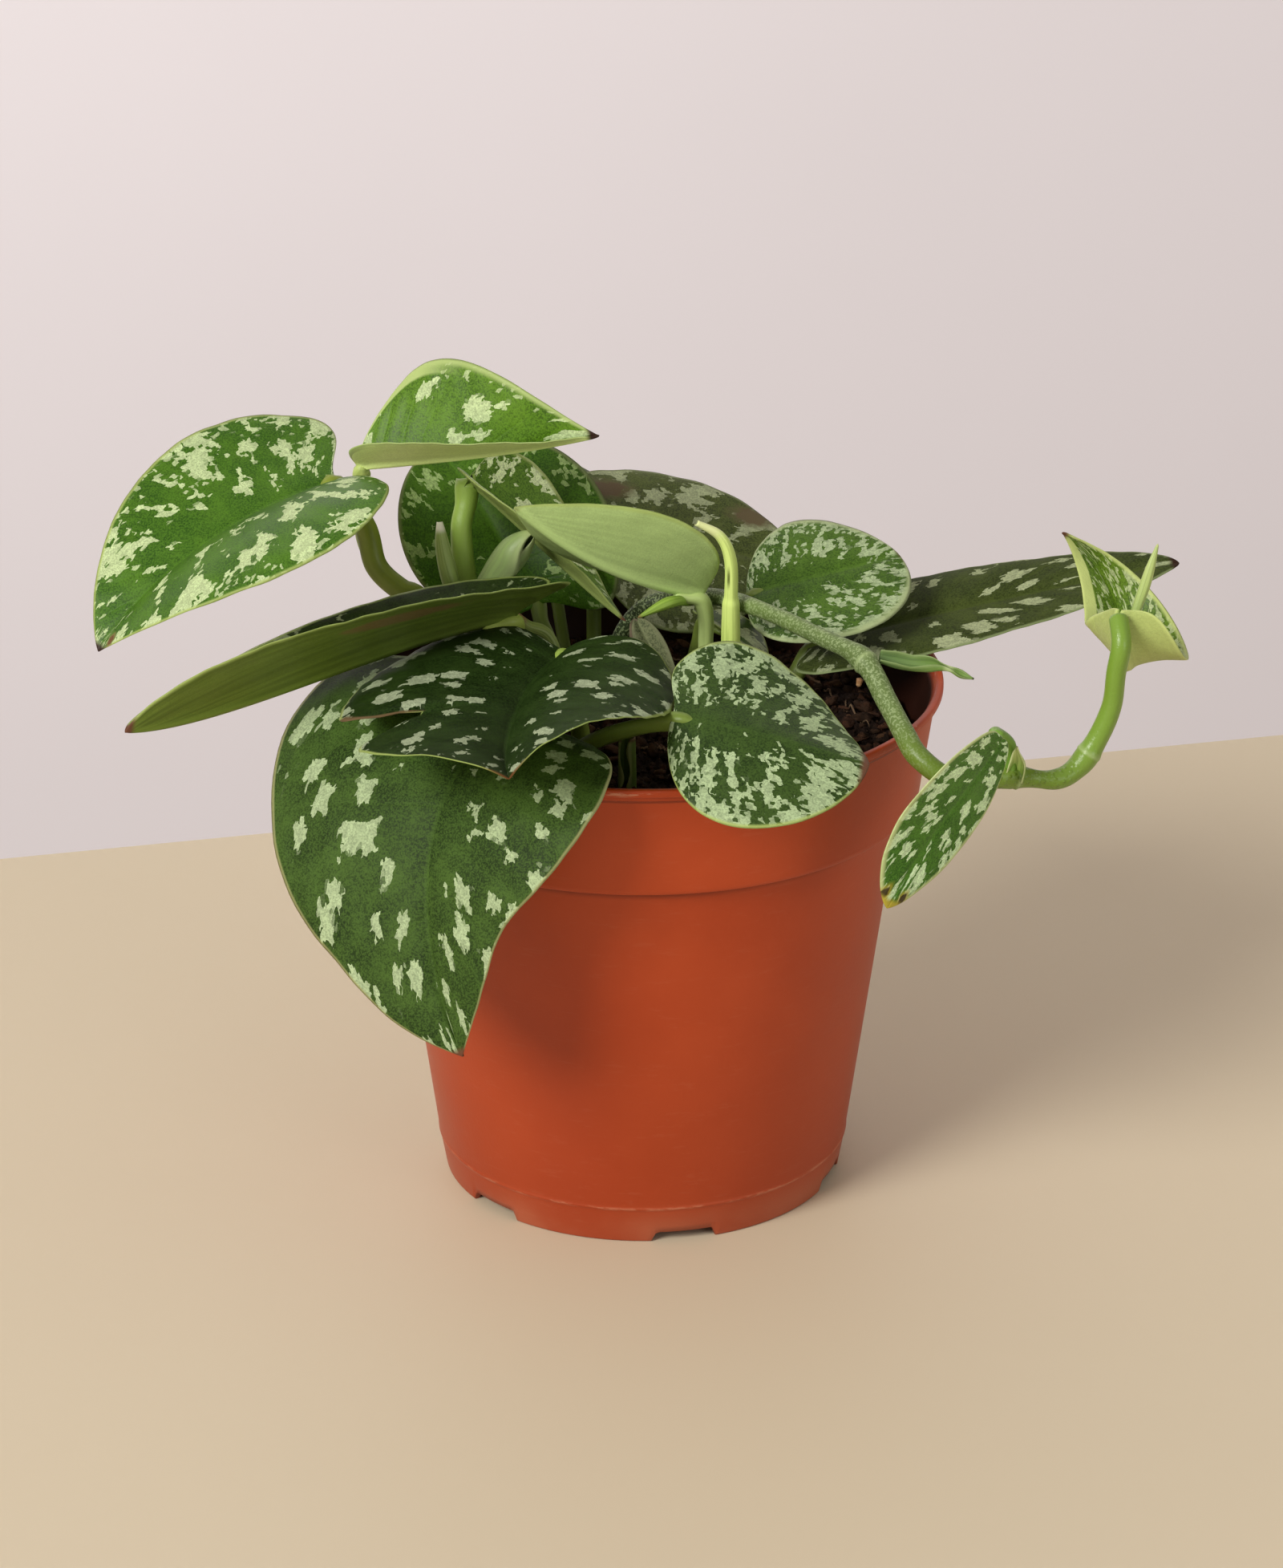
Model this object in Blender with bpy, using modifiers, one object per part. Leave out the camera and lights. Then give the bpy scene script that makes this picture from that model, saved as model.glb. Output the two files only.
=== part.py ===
"""Satin pothos in a round nursery pot.

The pot stands on the plane z = 0 with its axis on Z.  The front of the plant faces -Y, and +X is to
the right.  A turned plastic pot holds a plug of potting soil.  Leaf stalks and one runner rise from
the soil, and each carries the blade of a leaf.  Every blade comes from the same leaf formula, with its
own size, direction, bend and fold.  Sizes and places are in millimetres and are scaled to metres in
one place, on_metres().
"""
import math
from collections import namedtuple

import bmesh
import bpy
import numpy as np

MM = 0.001
OBJECT_NAME = "potted_satin_pothos"

# ---------------------------------------------------------------- driving dimensions, millimetres
POT_HEIGHT = 95.3
RIM_RADIUS = 54.0           # outer edge of the lip
LIP_HEIGHT = 1.4
BAND_TOP_RADIUS = 52.7      # the band under the lip
BAND_FOOT_RADIUS = 50.0
BAND_FOOT_HEIGHT = 73.9
BODY_TOP_RADIUS = 46.9
SEAM_HEIGHT = 7.1           # faint moulding seam above the foot
SEAM_RADIUS = 37.7
FOOT_RADIUS = 36.4
WALL = 1.1
FLOOR_THICKNESS = 1.2
FLOOR_LIFT = 3.2            # underside of the raised floor
PAD_RADIUS = 13.0           # flat pad in the middle of the floor, which touches the table
PAD_SLOPE = 3.4             # how far the raised floor starts outside the pad

DRAIN_COUNT = 6
DRAIN_TURN = 12.0           # degrees from straight ahead to the first drain notch
DRAIN_WIDTH = 11.0
DRAIN_HEIGHT = 1.9
DRAIN_DEPTH = 8.0           # how far a notch's cutter reaches across the foot
DRAIN_HOLE_RADIUS = 2.0
DRAIN_HOLE_CIRCLE = 25.0

SOIL_LEVEL = 84.0
GAP = 0.3                   # clearance between pieces that touch
BLADE = 0.6                 # thickness of a leaf blade
NOTCH_WIDTH = 0.42          # how wide the notch at the joint is, in radians of the outline
TIP_WIDTH = 0.35            # half width of a blade at its very tip
VEIN_SWEEP = 1.7            # how far the side veins reach ahead along the midrib
VEIN_BOW = 1.25             # how much they bow on the way to the margin
POT_STEPS = 48
SOIL_STEPS = 32
ROUND_SEGMENTS = 10         # sides of a small hole
BLADE_ROWS = 10
BLADE_COLUMNS = 8

# ---------------------------------------------------------------- leaves
# joint: where the stalk meets the blade.  aim: yaw, pitch and roll of the blade there, in degrees.
# half: widths of the left and right half.  lobe: how far each half reaches back past the joint.
# bend: droop, sweep and twist from joint to tip, in degrees.  shoulder and hook: more droop close to
# the joint and close to the tip.  fold: how far each half is lifted at the midrib.  curl: how far it
# turns on to its margin.  spread: the fold at the tip as a share of the fold at the joint.
# taper: 0 is a round outline, 1 and more a pointed one.
Leaf = namedtuple("Leaf", "name joint aim length half lobe bend shoulder hook fold curl spread taper")

LEAVES = [
    Leaf("far_left", (-55, 8.5, 129), (-152, -7, 5), 54, (28.5, 23), (9, 13), (43, 5, -16), -4, 3,
         (21, 20), (-39, 10), (1.1, 1.1), 0.8),
    Leaf("top", (-50.5, 13, 130.5), (-16, 8, 3), 45.5, (18, 12), (-2.5, 3), (-5, 3, 20), -2, -1,
         (55, 44), (-8, -2), (1.3, 1), 1.15),
    Leaf("long_left", (-23, -3, 107.9), (-157.5, -4, 7.5), 77, (21.5, 13), (18.5, 20.5), (-12.5, 14, -1),
         14, -12, (40, 25), (-26, 0), (1.7, 1.5), 0.3),
    Leaf("draped", (-20.5, -34.5, 99.9), (-140, 11, -2), 68, (30, 40), (10, 20), (17, 47, -6), 77, 2,
         (8, 9), (-17, -20), (1, 1.2), 1.0),
    Leaf("torn_front", (-14, -13.5, 105), (-113, 1.5, 11), 67, (29.5, 31.5), (7, 13), (-14, 32, 4), 14,
         -7, (26, 28), (-80, -51), (1.5, 1.6), 0.1),
    Leaf("round_front", (5.5, -47.8, 106.5), (-21, 0, 35), 34.5, (22.5, 18.5), (9.5, 0.5), (16, 9, -20),
         10, -1, (-15, -9), (4, -3), (1.3, 1.1), 0.2),
    Leaf("centre", (10.5, 8, 108), (-154, 13, 14), 42.5, (15, 12), (3, 2), (-28, 7, 18), -5, 0,
         (42, 10), (2, 0), (1.2, 1), 0.8),
    Leaf("folded", (-31, 21, 125.1), (-21, -38, -5), 38, (14, 10.5), (4, 7), (0, 6, -24), 2, -4,
         (26, 22), (1, 3), (0.8, 1), 1.2),
    Leaf("dark_back", (-19.5, 26, 99.3), (143, 52.5, -57.5), 36, (17, 20.5), (1, 12.5), (30, 6, 36),
         -3, 2.5, (6, 9), (-8, 0), (1.1, 1), 0.1),
    Leaf("brown_back", (-8.5, 41, 107), (16, -10, 24), 39, (20, 23), (11, 5), (-1, -22, 6), -3, 0,
         (2, 3), (-10, -9), (1, 1), 0.4),
    Leaf("far_back", (-22, 63, 111), (3, -1, -9), 15, (11.5, 10), (1, 3), (9, 3, -1), 0, 0,
         (9, 10), (1, 0), (1, 1), 1.0),
    Leaf("right_heart", (19.5, 19, 103.6), (-13, 23, 37.5), 29, (16.5, 18.5), (1.5, 1), (17, 26, -4), 18,
         -3, (-5, 10), (-10, 6), (1.1, 0.8), 0.1),
    Leaf("long_right", (30.5, 15, 95), (7, 14, 15), 69, (16, 14), (5.5, 11.5), (-5, -4, -9), 6, 1,
         (7, 7), (-26, 0), (1, 1), 0.3),
    Leaf("rolled_right", (82.5, -29.5, 118.5), (90, -95, 25), 54.5, (11, 11), (1, 4), (-222, 14, -62),
         -8, 1, (47, 17), (16, -27), (1.1, 1), 1.1),
    Leaf("hanging_right", (61.5, -46.5, 101.6), (-153, -51, 60), 35, (12, 10), (3, 1.5), (12, -7, 24),
         -11, 2, (4, 3), (-9, -5), (1, 1), 0.5),
    Leaf("dry_strip", (-1, 14.5, 100), (-45, -52, 20), 15, (3.2, 3), (0.5, 0.5), (-20, 5, 30), 0, 0,
         (25, 20), (10, 10), (1, 1), 0.2),
    Leaf("dry_curled", (-12.5, 0.5, 84.9), (68, 58, -10), 17, (4.5, 5), (-0.5, -0.5), (30, 8, 20), 0, 0,
         (30, 25), (20, 20), (1, 1), 0.2),
    Leaf("low_centre", (11.5, 18.5, 99.5), (-47, -10, -19), 18, (9.5, 4.5), (4.5, 3), (15, 2, -11),
         -1, 0, (8, 10), (-1, 0), (1, 1), 1.05),
]

# ---------------------------------------------------------------- stems
# foot: where a stalk leaves the soil.  Its own points follow, and its last point is worked out from
# the joint of its leaf.
Stalk = namedtuple("Stalk", "leaf radius foot points")

STALKS = [
    Stalk("far_left", 2.1, (-23, 3), [(-32, 5.5, 98.5), (-40, 8, 106.7), (-43.6, 9, 108.3),
                                      (-48, 11, 112.1), (-50, 12, 119.4)]),
    Stalk("top", 1.5, (-23, 19), [(-32, 19.5, 95.5), (-40, 19.5, 102), (-46, 18.5, 106.5),
                                  (-50, 17.5, 113.5), (-51, 16.5, 122)]),
    Stalk("long_left", 1.4, (-20, 0), [(-21.5, 1.5, 98), (-22.5, 0, 103)]),
    Stalk("draped", 1.9, (-14, -18), [(-17, -25, 92)]),
    Stalk("torn_front", 1.7, (-11, -6), [(-12.5, -9, 96)]),
    Stalk("round_front", 1.5, (-17, -28.5), [(-15.8, -29.5, 88.3), (-12.7, -32, 92.8),
                                             (-7.8, -36, 97.5), (-1.5, -40.5, 101.5)]),
    Stalk("centre", 1.4, (11.4, 9), [(11.4, 9, 97.5), (11.4, 8.5, 103)]),
    Stalk("folded", 2.0, (-29, 12), [(-31.9, 15.5, 107), (-32.6, 16.5, 112.4),
                                     (-32.8, 18, 117.3), (-32, 20, 120.8)]),
    Stalk("dark_back", 1.4, (-15, 18), [(-17.1, 21, 93.5), (-18.6, 23.5, 96.5)]),
    Stalk("brown_back", 1.4, (-9, 30), [(-9, 34, 98)]),
    Stalk("far_back", 1.2, (-14, 31), [(-18, 47, 104)]),
    Stalk("right_heart", 1.3, (21, 27), [(21, 25.5, 97)]),
    Stalk("long_right", 1.6, (25, 14), [(28, 14, 90)]),
    Stalk("dry_strip", 0.8, (-1, 16), [(-1.5, 16, 95)]),
    Stalk("low_centre", 1.1, (8, 21), [(10, 20, 94)]),
]

RUNNER_FOOT = (-5, 21)
RUNNER_POINTS = [(-4.2, 21, 94), (0, 20, 100.5), (5.6, 18, 103.3), (14.2, 12, 105.6),
                 (22.7, 0, 107.2), (31, -11, 107.1), (38.5, -20, 106.2), (42.6, -28, 101.4),
                 (45.2, -34, 98.2), (47.9, -39, 95.3), (53.9, -41, 92.1), (63.8, -38, 91.4),
                 (71.6, -36, 90), (75.9, -34, 91.7), (79.2, -33, 96.6), (81.4, -33, 102.6),
                 (81.9, -33.8, 109), (82.6, -34, 114.5)]
RUNNER_RADIUS = 2.0
RUNNER_NODE_X = 37.0            # the first node; the runner is thinner between the soil and here
RUNNER_THIN_RADIUS = 1.6
BRANCH_POINTS = [(63.8, -38.4, 94), (63.2, -39.4, 98), (60.7, -42.6, 101.3)]
BRANCH_RADIUS = 1.2

# Spindles are thin, tapered pieces: sheaths, rolled leaves and spikes.  Each is a path with a radius
# at every point, as x, y, z, radius.  The rooted ones start in the soil.
ROOTED_SPINDLES = {
    "sheath_hooked": [(15.8, 3.4, 84, 1.2), (15.8, 3.4, 100.1, 1.3), (15.8, 3.2, 107.8, 1.2),
                      (15.7, 2.5, 116, 1.1), (13.8, 2, 121, 0.9), (9.5, 1, 124, 0.5)],
    "sheath_dark_back": [(-13, 8, 84, 1.0), (-16.6, 12, 97.1, 1.0), (-21, 11, 100.6, 0.9),
                         (-22.8, 10, 103.4, 0.3)],
    "young_leaf_rolled": [(-26, 8, 84, 1.2), (-28.5, 9.5, 98, 1.4), (-28.4, 10, 106.7, 2.0),
                          (-25.9, 10, 111.3, 2.6), (-22.9, 9.5, 115.4, 2.8), (-20.6, 8.8, 118.2, 1.6),
                          (-19.4, 8.4, 119.4, 0.3)],
    "stub_front": [(-2.7, -26, 84, 1.6), (-2.7, -26, 94, 1.4)],
}
SPINDLES = {
    "sheath_folded": [(-33, 11.2, 103, 1.0), (-35, 12.8, 109.5, 1.3), (-36.2, 14.6, 115, 1.1),
                      (-36.6, 15.4, 119, 0.5)],
    "sheath_runner": [(41.7, -20, 106.9, 1.3), (45.1, -20, 106.1, 1.6), (50, -20.6, 105.5, 1.4),
                      (52.4, -21, 105.1, 0.7), (54, -21.3, 104.8, 0.5), (56, -21.7, 104.1, 0.8),
                      (58.1, -22, 103.3, 0.2)],
    "spike_centre": [(10.3, 11.1, 105.4, 0.8), (8.2, 8.5, 106.2, 0.9), (6.3, 4.5, 107.8, 1.0),
                     (3.8, 2, 108, 1.1), (-0.9, 0, 106.3, 0.25)],
    "spike_rolled_right": [(84.8, -27.6, 115, 0.7), (85.8, -26.6, 118.5, 0.9), (87, -25.8, 122, 1.0),
                           (88, -25.2, 125.4, 0.8), (89.2, -24.4, 129.4, 0.2)],
    "root_nub": [(38.2, -21.2, 103.2, 0.7), (37.8, -21.5, 101.5, 0.4)],
}
ROOT_DEPTH = 7.5            # how far a stalk reaches into the soil
SOCKET_SLACK = 0.45         # how much wider than a stalk its socket in the soil is, in radius
SOCKET_MOUTH = 3.0          # how far a socket's cutter stands out of the soil
COLLAR = 1.5                # straight length of a stalk just above the soil

# ---------------------------------------------------------------- colours, linear RGB
TERRACOTTA = (0.45, 0.085, 0.025)
SOIL_BROWN = (0.022, 0.012, 0.008)
LEAF_GREEN = (0.035, 0.12, 0.025)
STALK_GREEN = (0.17, 0.30, 0.06)
SHEATH_GREEN = (0.42, 0.52, 0.12)


# ---------------------------------------------------------------- scene helpers
def clear_scene():
    for thing in list(bpy.data.objects):
        bpy.data.objects.remove(thing, do_unlink=True)


def new_collection(name):
    collection = bpy.data.collections.new(name)
    bpy.context.scene.collection.children.link(collection)
    return collection


def give_material(thing, colour, roughness):
    """A plain Principled material of the object's own."""
    material = bpy.data.materials.new(thing.name)
    material.use_nodes = True
    shader = material.node_tree.nodes["Principled BSDF"]
    shader.inputs["Base Color"].default_value = (*colour, 1)
    shader.inputs["Roughness"].default_value = roughness
    shader.inputs["Metallic"].default_value = 0
    thing.data.materials.clear()
    thing.data.materials.append(material)


def add_mesh(name, mesh, collection):
    thing = bpy.data.objects.new(name, mesh)
    collection.objects.link(thing)
    return thing


def on_metres(points):
    return np.asarray(points, float) * MM


def mesh_of(thing):
    """The evaluated mesh of an object, as new mesh data."""
    bpy.context.view_layer.update()
    evaluated = thing.evaluated_get(bpy.context.evaluated_depsgraph_get())
    return bpy.data.meshes.new_from_object(evaluated)


# ---------------------------------------------------------------- turned pieces
def turned(name, profile, collection, steps=POT_STEPS):
    """A closed turned solid: the profile runs from the axis out, down the outer side and back."""
    mesh = bpy.data.meshes.new(name)
    points = [(radius * MM, 0, height * MM) for radius, height in profile]
    mesh.from_pydata(points, [(i, i + 1) for i in range(len(points) - 1)], [])
    thing = add_mesh(name, mesh, collection)
    screw = thing.modifiers.new("turn", "SCREW")
    screw.axis = "Z"
    screw.steps = steps
    screw.render_steps = steps
    screw.use_merge_vertices = True
    screw.merge_threshold = 0.00001
    return thing


def pot_profile():
    """Inner floor, inner wall, lip, outer wall with its band, foot and raised floor."""
    return [
        (0, FLOOR_THICKNESS),
        (PAD_RADIUS - 0.6, FLOOR_THICKNESS),
        (PAD_RADIUS + PAD_SLOPE - 0.4, FLOOR_LIFT + FLOOR_THICKNESS),
        (SEAM_RADIUS - WALL - 2.2, FLOOR_LIFT + FLOOR_THICKNESS),
        (SEAM_RADIUS - WALL, SEAM_HEIGHT),
        (BODY_TOP_RADIUS - WALL, BAND_FOOT_HEIGHT),
        (BAND_FOOT_RADIUS - WALL, BAND_FOOT_HEIGHT + 1.4),
        (BAND_TOP_RADIUS - WALL, POT_HEIGHT - 2),
        (RIM_RADIUS - 1.2, POT_HEIGHT),
        (RIM_RADIUS, POT_HEIGHT),
        (RIM_RADIUS, POT_HEIGHT - LIP_HEIGHT),
        (BAND_TOP_RADIUS, POT_HEIGHT - LIP_HEIGHT - 0.3),
        (BAND_FOOT_RADIUS, BAND_FOOT_HEIGHT + 0.3),
        (BAND_FOOT_RADIUS - 0.4, BAND_FOOT_HEIGHT),
        (BODY_TOP_RADIUS, BAND_FOOT_HEIGHT - 0.4),
        (SEAM_RADIUS, SEAM_HEIGHT),
        (FOOT_RADIUS, 0),
        (FOOT_RADIUS - 1.2, 0),
        (FOOT_RADIUS - 1.4, FLOOR_LIFT),
        (PAD_RADIUS + PAD_SLOPE, FLOOR_LIFT),
        (PAD_RADIUS, 0),
        (0, 0),
    ]


def cut(thing, cutter):
    boolean = thing.modifiers.new("cut", "BOOLEAN")
    boolean.operation = "DIFFERENCE"
    boolean.solver = "EXACT"
    boolean.object = cutter
    cutter.hide_render = True
    cutter.display_type = "WIRE"


def build_pot(collection, cutters):
    pot = turned("pot", pot_profile(), collection)
    for i in range(DRAIN_COUNT):
        turn = math.radians(-90 + DRAIN_TURN + i * 360 / DRAIN_COUNT)
        mesh = bpy.data.meshes.new("drain_notch_%d" % i)
        shape = bmesh.new()
        bmesh.ops.create_cube(shape, size=1)
        notch_size = on_metres((DRAIN_DEPTH, DRAIN_WIDTH, 2 * DRAIN_HEIGHT))
        bmesh.ops.scale(shape, vec=notch_size, verts=shape.verts)
        shape.to_mesh(mesh)
        shape.free()
        notch = add_mesh(mesh.name, mesh, cutters)
        notch.location = (FOOT_RADIUS * MM * math.cos(turn), FOOT_RADIUS * MM * math.sin(turn), 0)
        notch.rotation_euler = (0, 0, turn)
        cut(pot, notch)

        mesh = bpy.data.meshes.new("drain_hole_%d" % i)
        shape = bmesh.new()
        bmesh.ops.create_cone(shape, cap_ends=True, segments=ROUND_SEGMENTS,
                              radius1=DRAIN_HOLE_RADIUS * MM, radius2=DRAIN_HOLE_RADIUS * MM,
                              depth=5 * FLOOR_THICKNESS * MM)
        shape.to_mesh(mesh)
        shape.free()
        hole = add_mesh(mesh.name, mesh, cutters)
        hole.location = (DRAIN_HOLE_CIRCLE * MM * math.cos(turn), DRAIN_HOLE_CIRCLE * MM * math.sin(turn),
                         (FLOOR_LIFT + FLOOR_THICKNESS / 2) * MM)
        cut(pot, hole)
    give_material(pot, TERRACOTTA, 0.5)


def soil_height(x, y):
    """Uneven top of the soil, in millimetres."""
    waves = np.sin(0.21 * x + 0.6) * np.cos(0.17 * y - 0.4) + 0.5 * np.sin(0.43 * y + 0.29 * x)
    return SOIL_LEVEL + 0.7 * waves


def build_soil(collection, sockets):
    """The plug of soil, a little clear of the pot all round."""
    floor_at = FLOOR_LIFT + FLOOR_THICKNESS + GAP
    wall_at = BODY_TOP_RADIUS - WALL - GAP
    ring_radii = [0, 10, 20, 30, 40, BAND_FOOT_RADIUS - WALL - GAP + 0.9]
    profile = [(radius, SOIL_LEVEL) for radius in ring_radii]
    profile += [
        (BAND_FOOT_RADIUS - WALL - GAP - 0.1, BAND_FOOT_HEIGHT + 1.9),
        (wall_at, BAND_FOOT_HEIGHT + 0.2),
        (SEAM_RADIUS - WALL - GAP, SEAM_HEIGHT + 0.3),
        (SEAM_RADIUS - WALL - 2.6, floor_at),
        (0, floor_at),
    ]
    blank = turned("soil_blank", profile, collection, steps=SOIL_STEPS)
    mesh = mesh_of(blank)
    bpy.data.objects.remove(blank)
    mesh.name = "potting_soil"
    for vertex in mesh.vertices:
        x, y, z = vertex.co / MM
        if z > SOIL_LEVEL - 1:
            vertex.co.z = soil_height(x, y) * MM
    soil = add_mesh("potting_soil", mesh, collection)
    boolean = soil.modifiers.new("sockets", "BOOLEAN")
    boolean.operation = "DIFFERENCE"
    boolean.solver = "EXACT"
    boolean.operand_type = "COLLECTION"
    boolean.collection = sockets
    give_material(soil, SOIL_BROWN, 0.95)


def build_socket(name, foot, radius, collection):
    """The hole in the soil that a stalk stands in."""
    mesh = bpy.data.meshes.new("socket_" + name)
    shape = bmesh.new()
    hole_radius = (radius + SOCKET_SLACK) * MM
    bmesh.ops.create_cone(shape, cap_ends=True, segments=ROUND_SEGMENTS, radius1=hole_radius,
                          radius2=hole_radius, depth=(ROOT_DEPTH + GAP + SOCKET_MOUTH) * MM)
    shape.to_mesh(mesh)
    shape.free()
    socket = add_mesh(mesh.name, mesh, collection)
    socket.location = on_metres((*foot, SOIL_LEVEL + (SOCKET_MOUTH - ROOT_DEPTH - GAP) / 2))
    socket.hide_render = True
    socket.display_type = "WIRE"


# ---------------------------------------------------------------- the leaf formula
def turn_about(axis, degrees):
    """Rotation matrix about a local axis: 0 is x, 1 is y and 2 is z."""
    angle = math.radians(degrees)
    cosine, sine = math.cos(angle), math.sin(angle)
    a, b = (axis + 1) % 3, (axis + 2) % 3
    matrix = np.eye(3)
    matrix[a, a] = matrix[b, b] = cosine
    matrix[a, b], matrix[b, a] = -sine, sine
    return matrix


def small_turn(rates):
    """Rotation matrix for a small turn, given as a vector of degrees about x, y and z."""
    vector = np.radians(rates)
    angle = np.linalg.norm(vector) + 1e-12
    x, y, z = vector / angle
    cross = np.array([[0, -z, y], [z, 0, -x], [-y, x, 0]])
    return np.eye(3) + math.sin(angle) * cross + (1 - math.cos(angle)) * cross @ cross


def midrib(leaf, steps=60):
    """Stations along the midrib, with the place and the frame (ahead, left, up) at each.

    The frame starts as yaw * pitch * roll and turns by droop, sweep and twist on its way to the tip.
    Stations behind the joint carry the lobes.
    """
    yaw, pitch, roll = leaf.aim
    droop, sweep, twist = leaf.bend
    back = max(leaf.lobe) + 1

    def walk(stations):
        place = np.array(leaf.joint, float)
        frame = turn_about(2, yaw) @ turn_about(1, -pitch) @ turn_about(0, roll)
        places, frames = [place], [frame]
        for start, end in zip(stations[:-1], stations[1:]):
            middle = (start + end) / 2 / leaf.length
            step = (end - start) / leaf.length
            rates = np.array([0, droop, sweep], float)
            if middle > 0:
                rates[0] = twist
                rates[1] += leaf.shoulder * 3 * (1 - middle) ** 2 + leaf.hook * 5 * middle ** 4
            half_turn = small_turn(rates * step / 2)
            place = place + (end - start) * (frame @ half_turn)[:, 0]
            frame = frame @ half_turn @ half_turn
            places.append(place)
            frames.append(frame)
        return np.array(places), np.array(frames)

    ahead = np.linspace(0, leaf.length, steps + 1)
    behind = np.linspace(0, -back, 9)
    places_ahead, frames_ahead = walk(ahead)
    places_behind, frames_behind = walk(behind)
    stations = np.concatenate([behind[:0:-1], ahead])
    places = np.concatenate([places_behind[:0:-1], places_ahead])
    frames = np.concatenate([frames_behind[:0:-1], frames_ahead])
    return stations, places, frames


def margin(leaf, angle, half, lobe):
    """Outline of a heart-shaped half blade, flat: along and across, for an angle of pi at the notch
    and 0 at the tip.

    along = centre + half_length * cos(angle) + lobe * exp(-((pi - angle) / NOTCH_WIDTH)^2)
    across = half * sin(angle) * sin(angle / 2)^taper, scaled so that its greatest value is half
    """
    half_length = (leaf.length + lobe) / 2
    notch = (lobe - BLADE) * np.exp(-((np.pi - angle) / NOTCH_WIDTH) ** 2)
    along = leaf.length - half_length + half_length * np.cos(angle) + notch
    sweep = np.linspace(0, np.pi, 200)
    greatest = (np.sin(sweep) * np.sin(sweep / 2) ** leaf.taper).max()
    across = half * np.sin(angle) * np.sin(angle / 2) ** leaf.taper / greatest
    return along, np.maximum(across, TIP_WIDTH * np.minimum(1, angle / 0.3))


def blade_points(leaf, u, v):
    """Points of a blade, for u from 0 at the notch to 1 at the tip and v from -1 (right margin) to 1.

    A row of constant u follows a side vein from the midrib to the margin.  Each half is bent to an
    arc that leaves the midrib at the fold and turns by the curl.
    """
    left = v >= 0
    half = np.where(left, *leaf.half)
    lobe = np.where(left, *leaf.lobe)
    rise = np.abs(v)
    margin_along, margin_across = margin(leaf, np.pi * (1 - u), half, lobe)
    root = leaf.length * u ** VEIN_SWEEP
    along = root + (margin_along - root) * rise ** VEIN_BOW
    across = margin_across * rise

    stations, places, frames = midrib(leaf)
    place, left_way, up_way = [
        np.stack([np.interp(along, stations, column) for column in table.T], -1)
        for table in (places, frames[:, :, 1], frames[:, :, 2])
    ]
    toward_tip = np.clip(along / leaf.length, 0, 1)
    fold = np.where(left, *leaf.fold) * (1 + (np.where(left, *leaf.spread) - 1) * toward_tip)
    turn = np.radians(np.where(left, *leaf.curl)) / half * across
    slope = np.radians(fold) + turn / 2
    reach = across * np.sinc(turn / 2 / np.pi)
    sideways = np.where(left, 1, -1) * reach * np.cos(slope)
    return place + sideways[..., None] * left_way + (reach * np.sin(slope))[..., None] * up_way


def build_blade(leaf, collection):
    mesh = bpy.data.meshes.new("leaf_" + leaf.name)
    shape = bmesh.new()
    bmesh.ops.create_grid(shape, x_segments=BLADE_COLUMNS, y_segments=BLADE_ROWS, size=1)
    flat = np.array([vertex.co for vertex in shape.verts])
    bent = on_metres(blade_points(leaf, (flat[:, 1] + 1) / 2, flat[:, 0]))
    for vertex, point in zip(shape.verts, bent):
        vertex.co = point
    bmesh.ops.remove_doubles(shape, verts=shape.verts, dist=0.00002)
    shape.to_mesh(mesh)
    shape.free()
    mesh.shade_smooth()
    blade = add_mesh(mesh.name, mesh, collection)
    shell = blade.modifiers.new("thickness", "SOLIDIFY")
    shell.thickness = BLADE * MM
    shell.offset = 0
    give_material(blade, LEAF_GREEN, 0.45)


# ---------------------------------------------------------------- stems
def smooth_path(points, spacing=3.5):
    """A Catmull-Rom curve through the points, sampled about every spacing millimetres."""
    points = np.asarray(points, float)
    ends = np.vstack([2 * points[0] - points[1], points, 2 * points[-1] - points[-2]])
    path = []
    for a, b, c, d in zip(ends[:-3], ends[1:-2], ends[2:-1], ends[3:]):
        count = max(2, round(np.linalg.norm((c - b)[:3]) / spacing))
        for t in np.arange(count) / count:
            bow = 2 * a - 5 * b + 4 * c - d + t * (3 * (b - c) + d - a)
            path.append(b + 0.5 * t * (c - a + t * bow))
    return np.array(path + [points[-1]])


def rooted_path(foot, points):
    """A smooth path that leaves the soil at foot, with a straight end in its socket."""
    collar = (*foot, SOIL_LEVEL + COLLAR)
    path = smooth_path([collar, *points])
    return np.vstack([(*foot, SOIL_LEVEL - ROOT_DEPTH), path])


def build_tube(name, points, radii, collection, colour):
    """A filled tube along the points, with a radius in millimetres at each."""
    curve = bpy.data.curves.new(name, "CURVE")
    curve.dimensions = "3D"
    curve.bevel_depth = MM
    curve.bevel_resolution = 2
    curve.use_fill_caps = True
    spline = curve.splines.new("POLY")
    spline.points.add(len(points) - 1)
    for station, place, radius in zip(spline.points, on_metres(points), radii):
        station.co = (*place, 1)
        station.radius = radius
    tube = bpy.data.objects.new(name, curve)
    collection.objects.link(tube)
    give_material(tube, colour, 0.45)


def seat_under(leaf, last, radius):
    """The end of a stalk that comes from the point last: just clear of the blade, under its joint."""
    yaw, pitch, roll = leaf.aim
    up = (turn_about(2, yaw) @ turn_about(1, -pitch) @ turn_about(0, roll))[:, 2]
    way = np.array(leaf.joint) - last
    way = way / np.linalg.norm(way)
    overhang = radius * math.sqrt(max(0, 1 - (way @ up) ** 2))
    overhang += radius * math.tan(math.radians(max(0, -min(leaf.fold))))
    side = -1 if way @ up > 0 else 1
    return np.array(leaf.joint) + side * up * (BLADE / 2 + GAP + overhang)


def leaf_named(name):
    return next(leaf for leaf in LEAVES if leaf.name == name)


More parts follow.
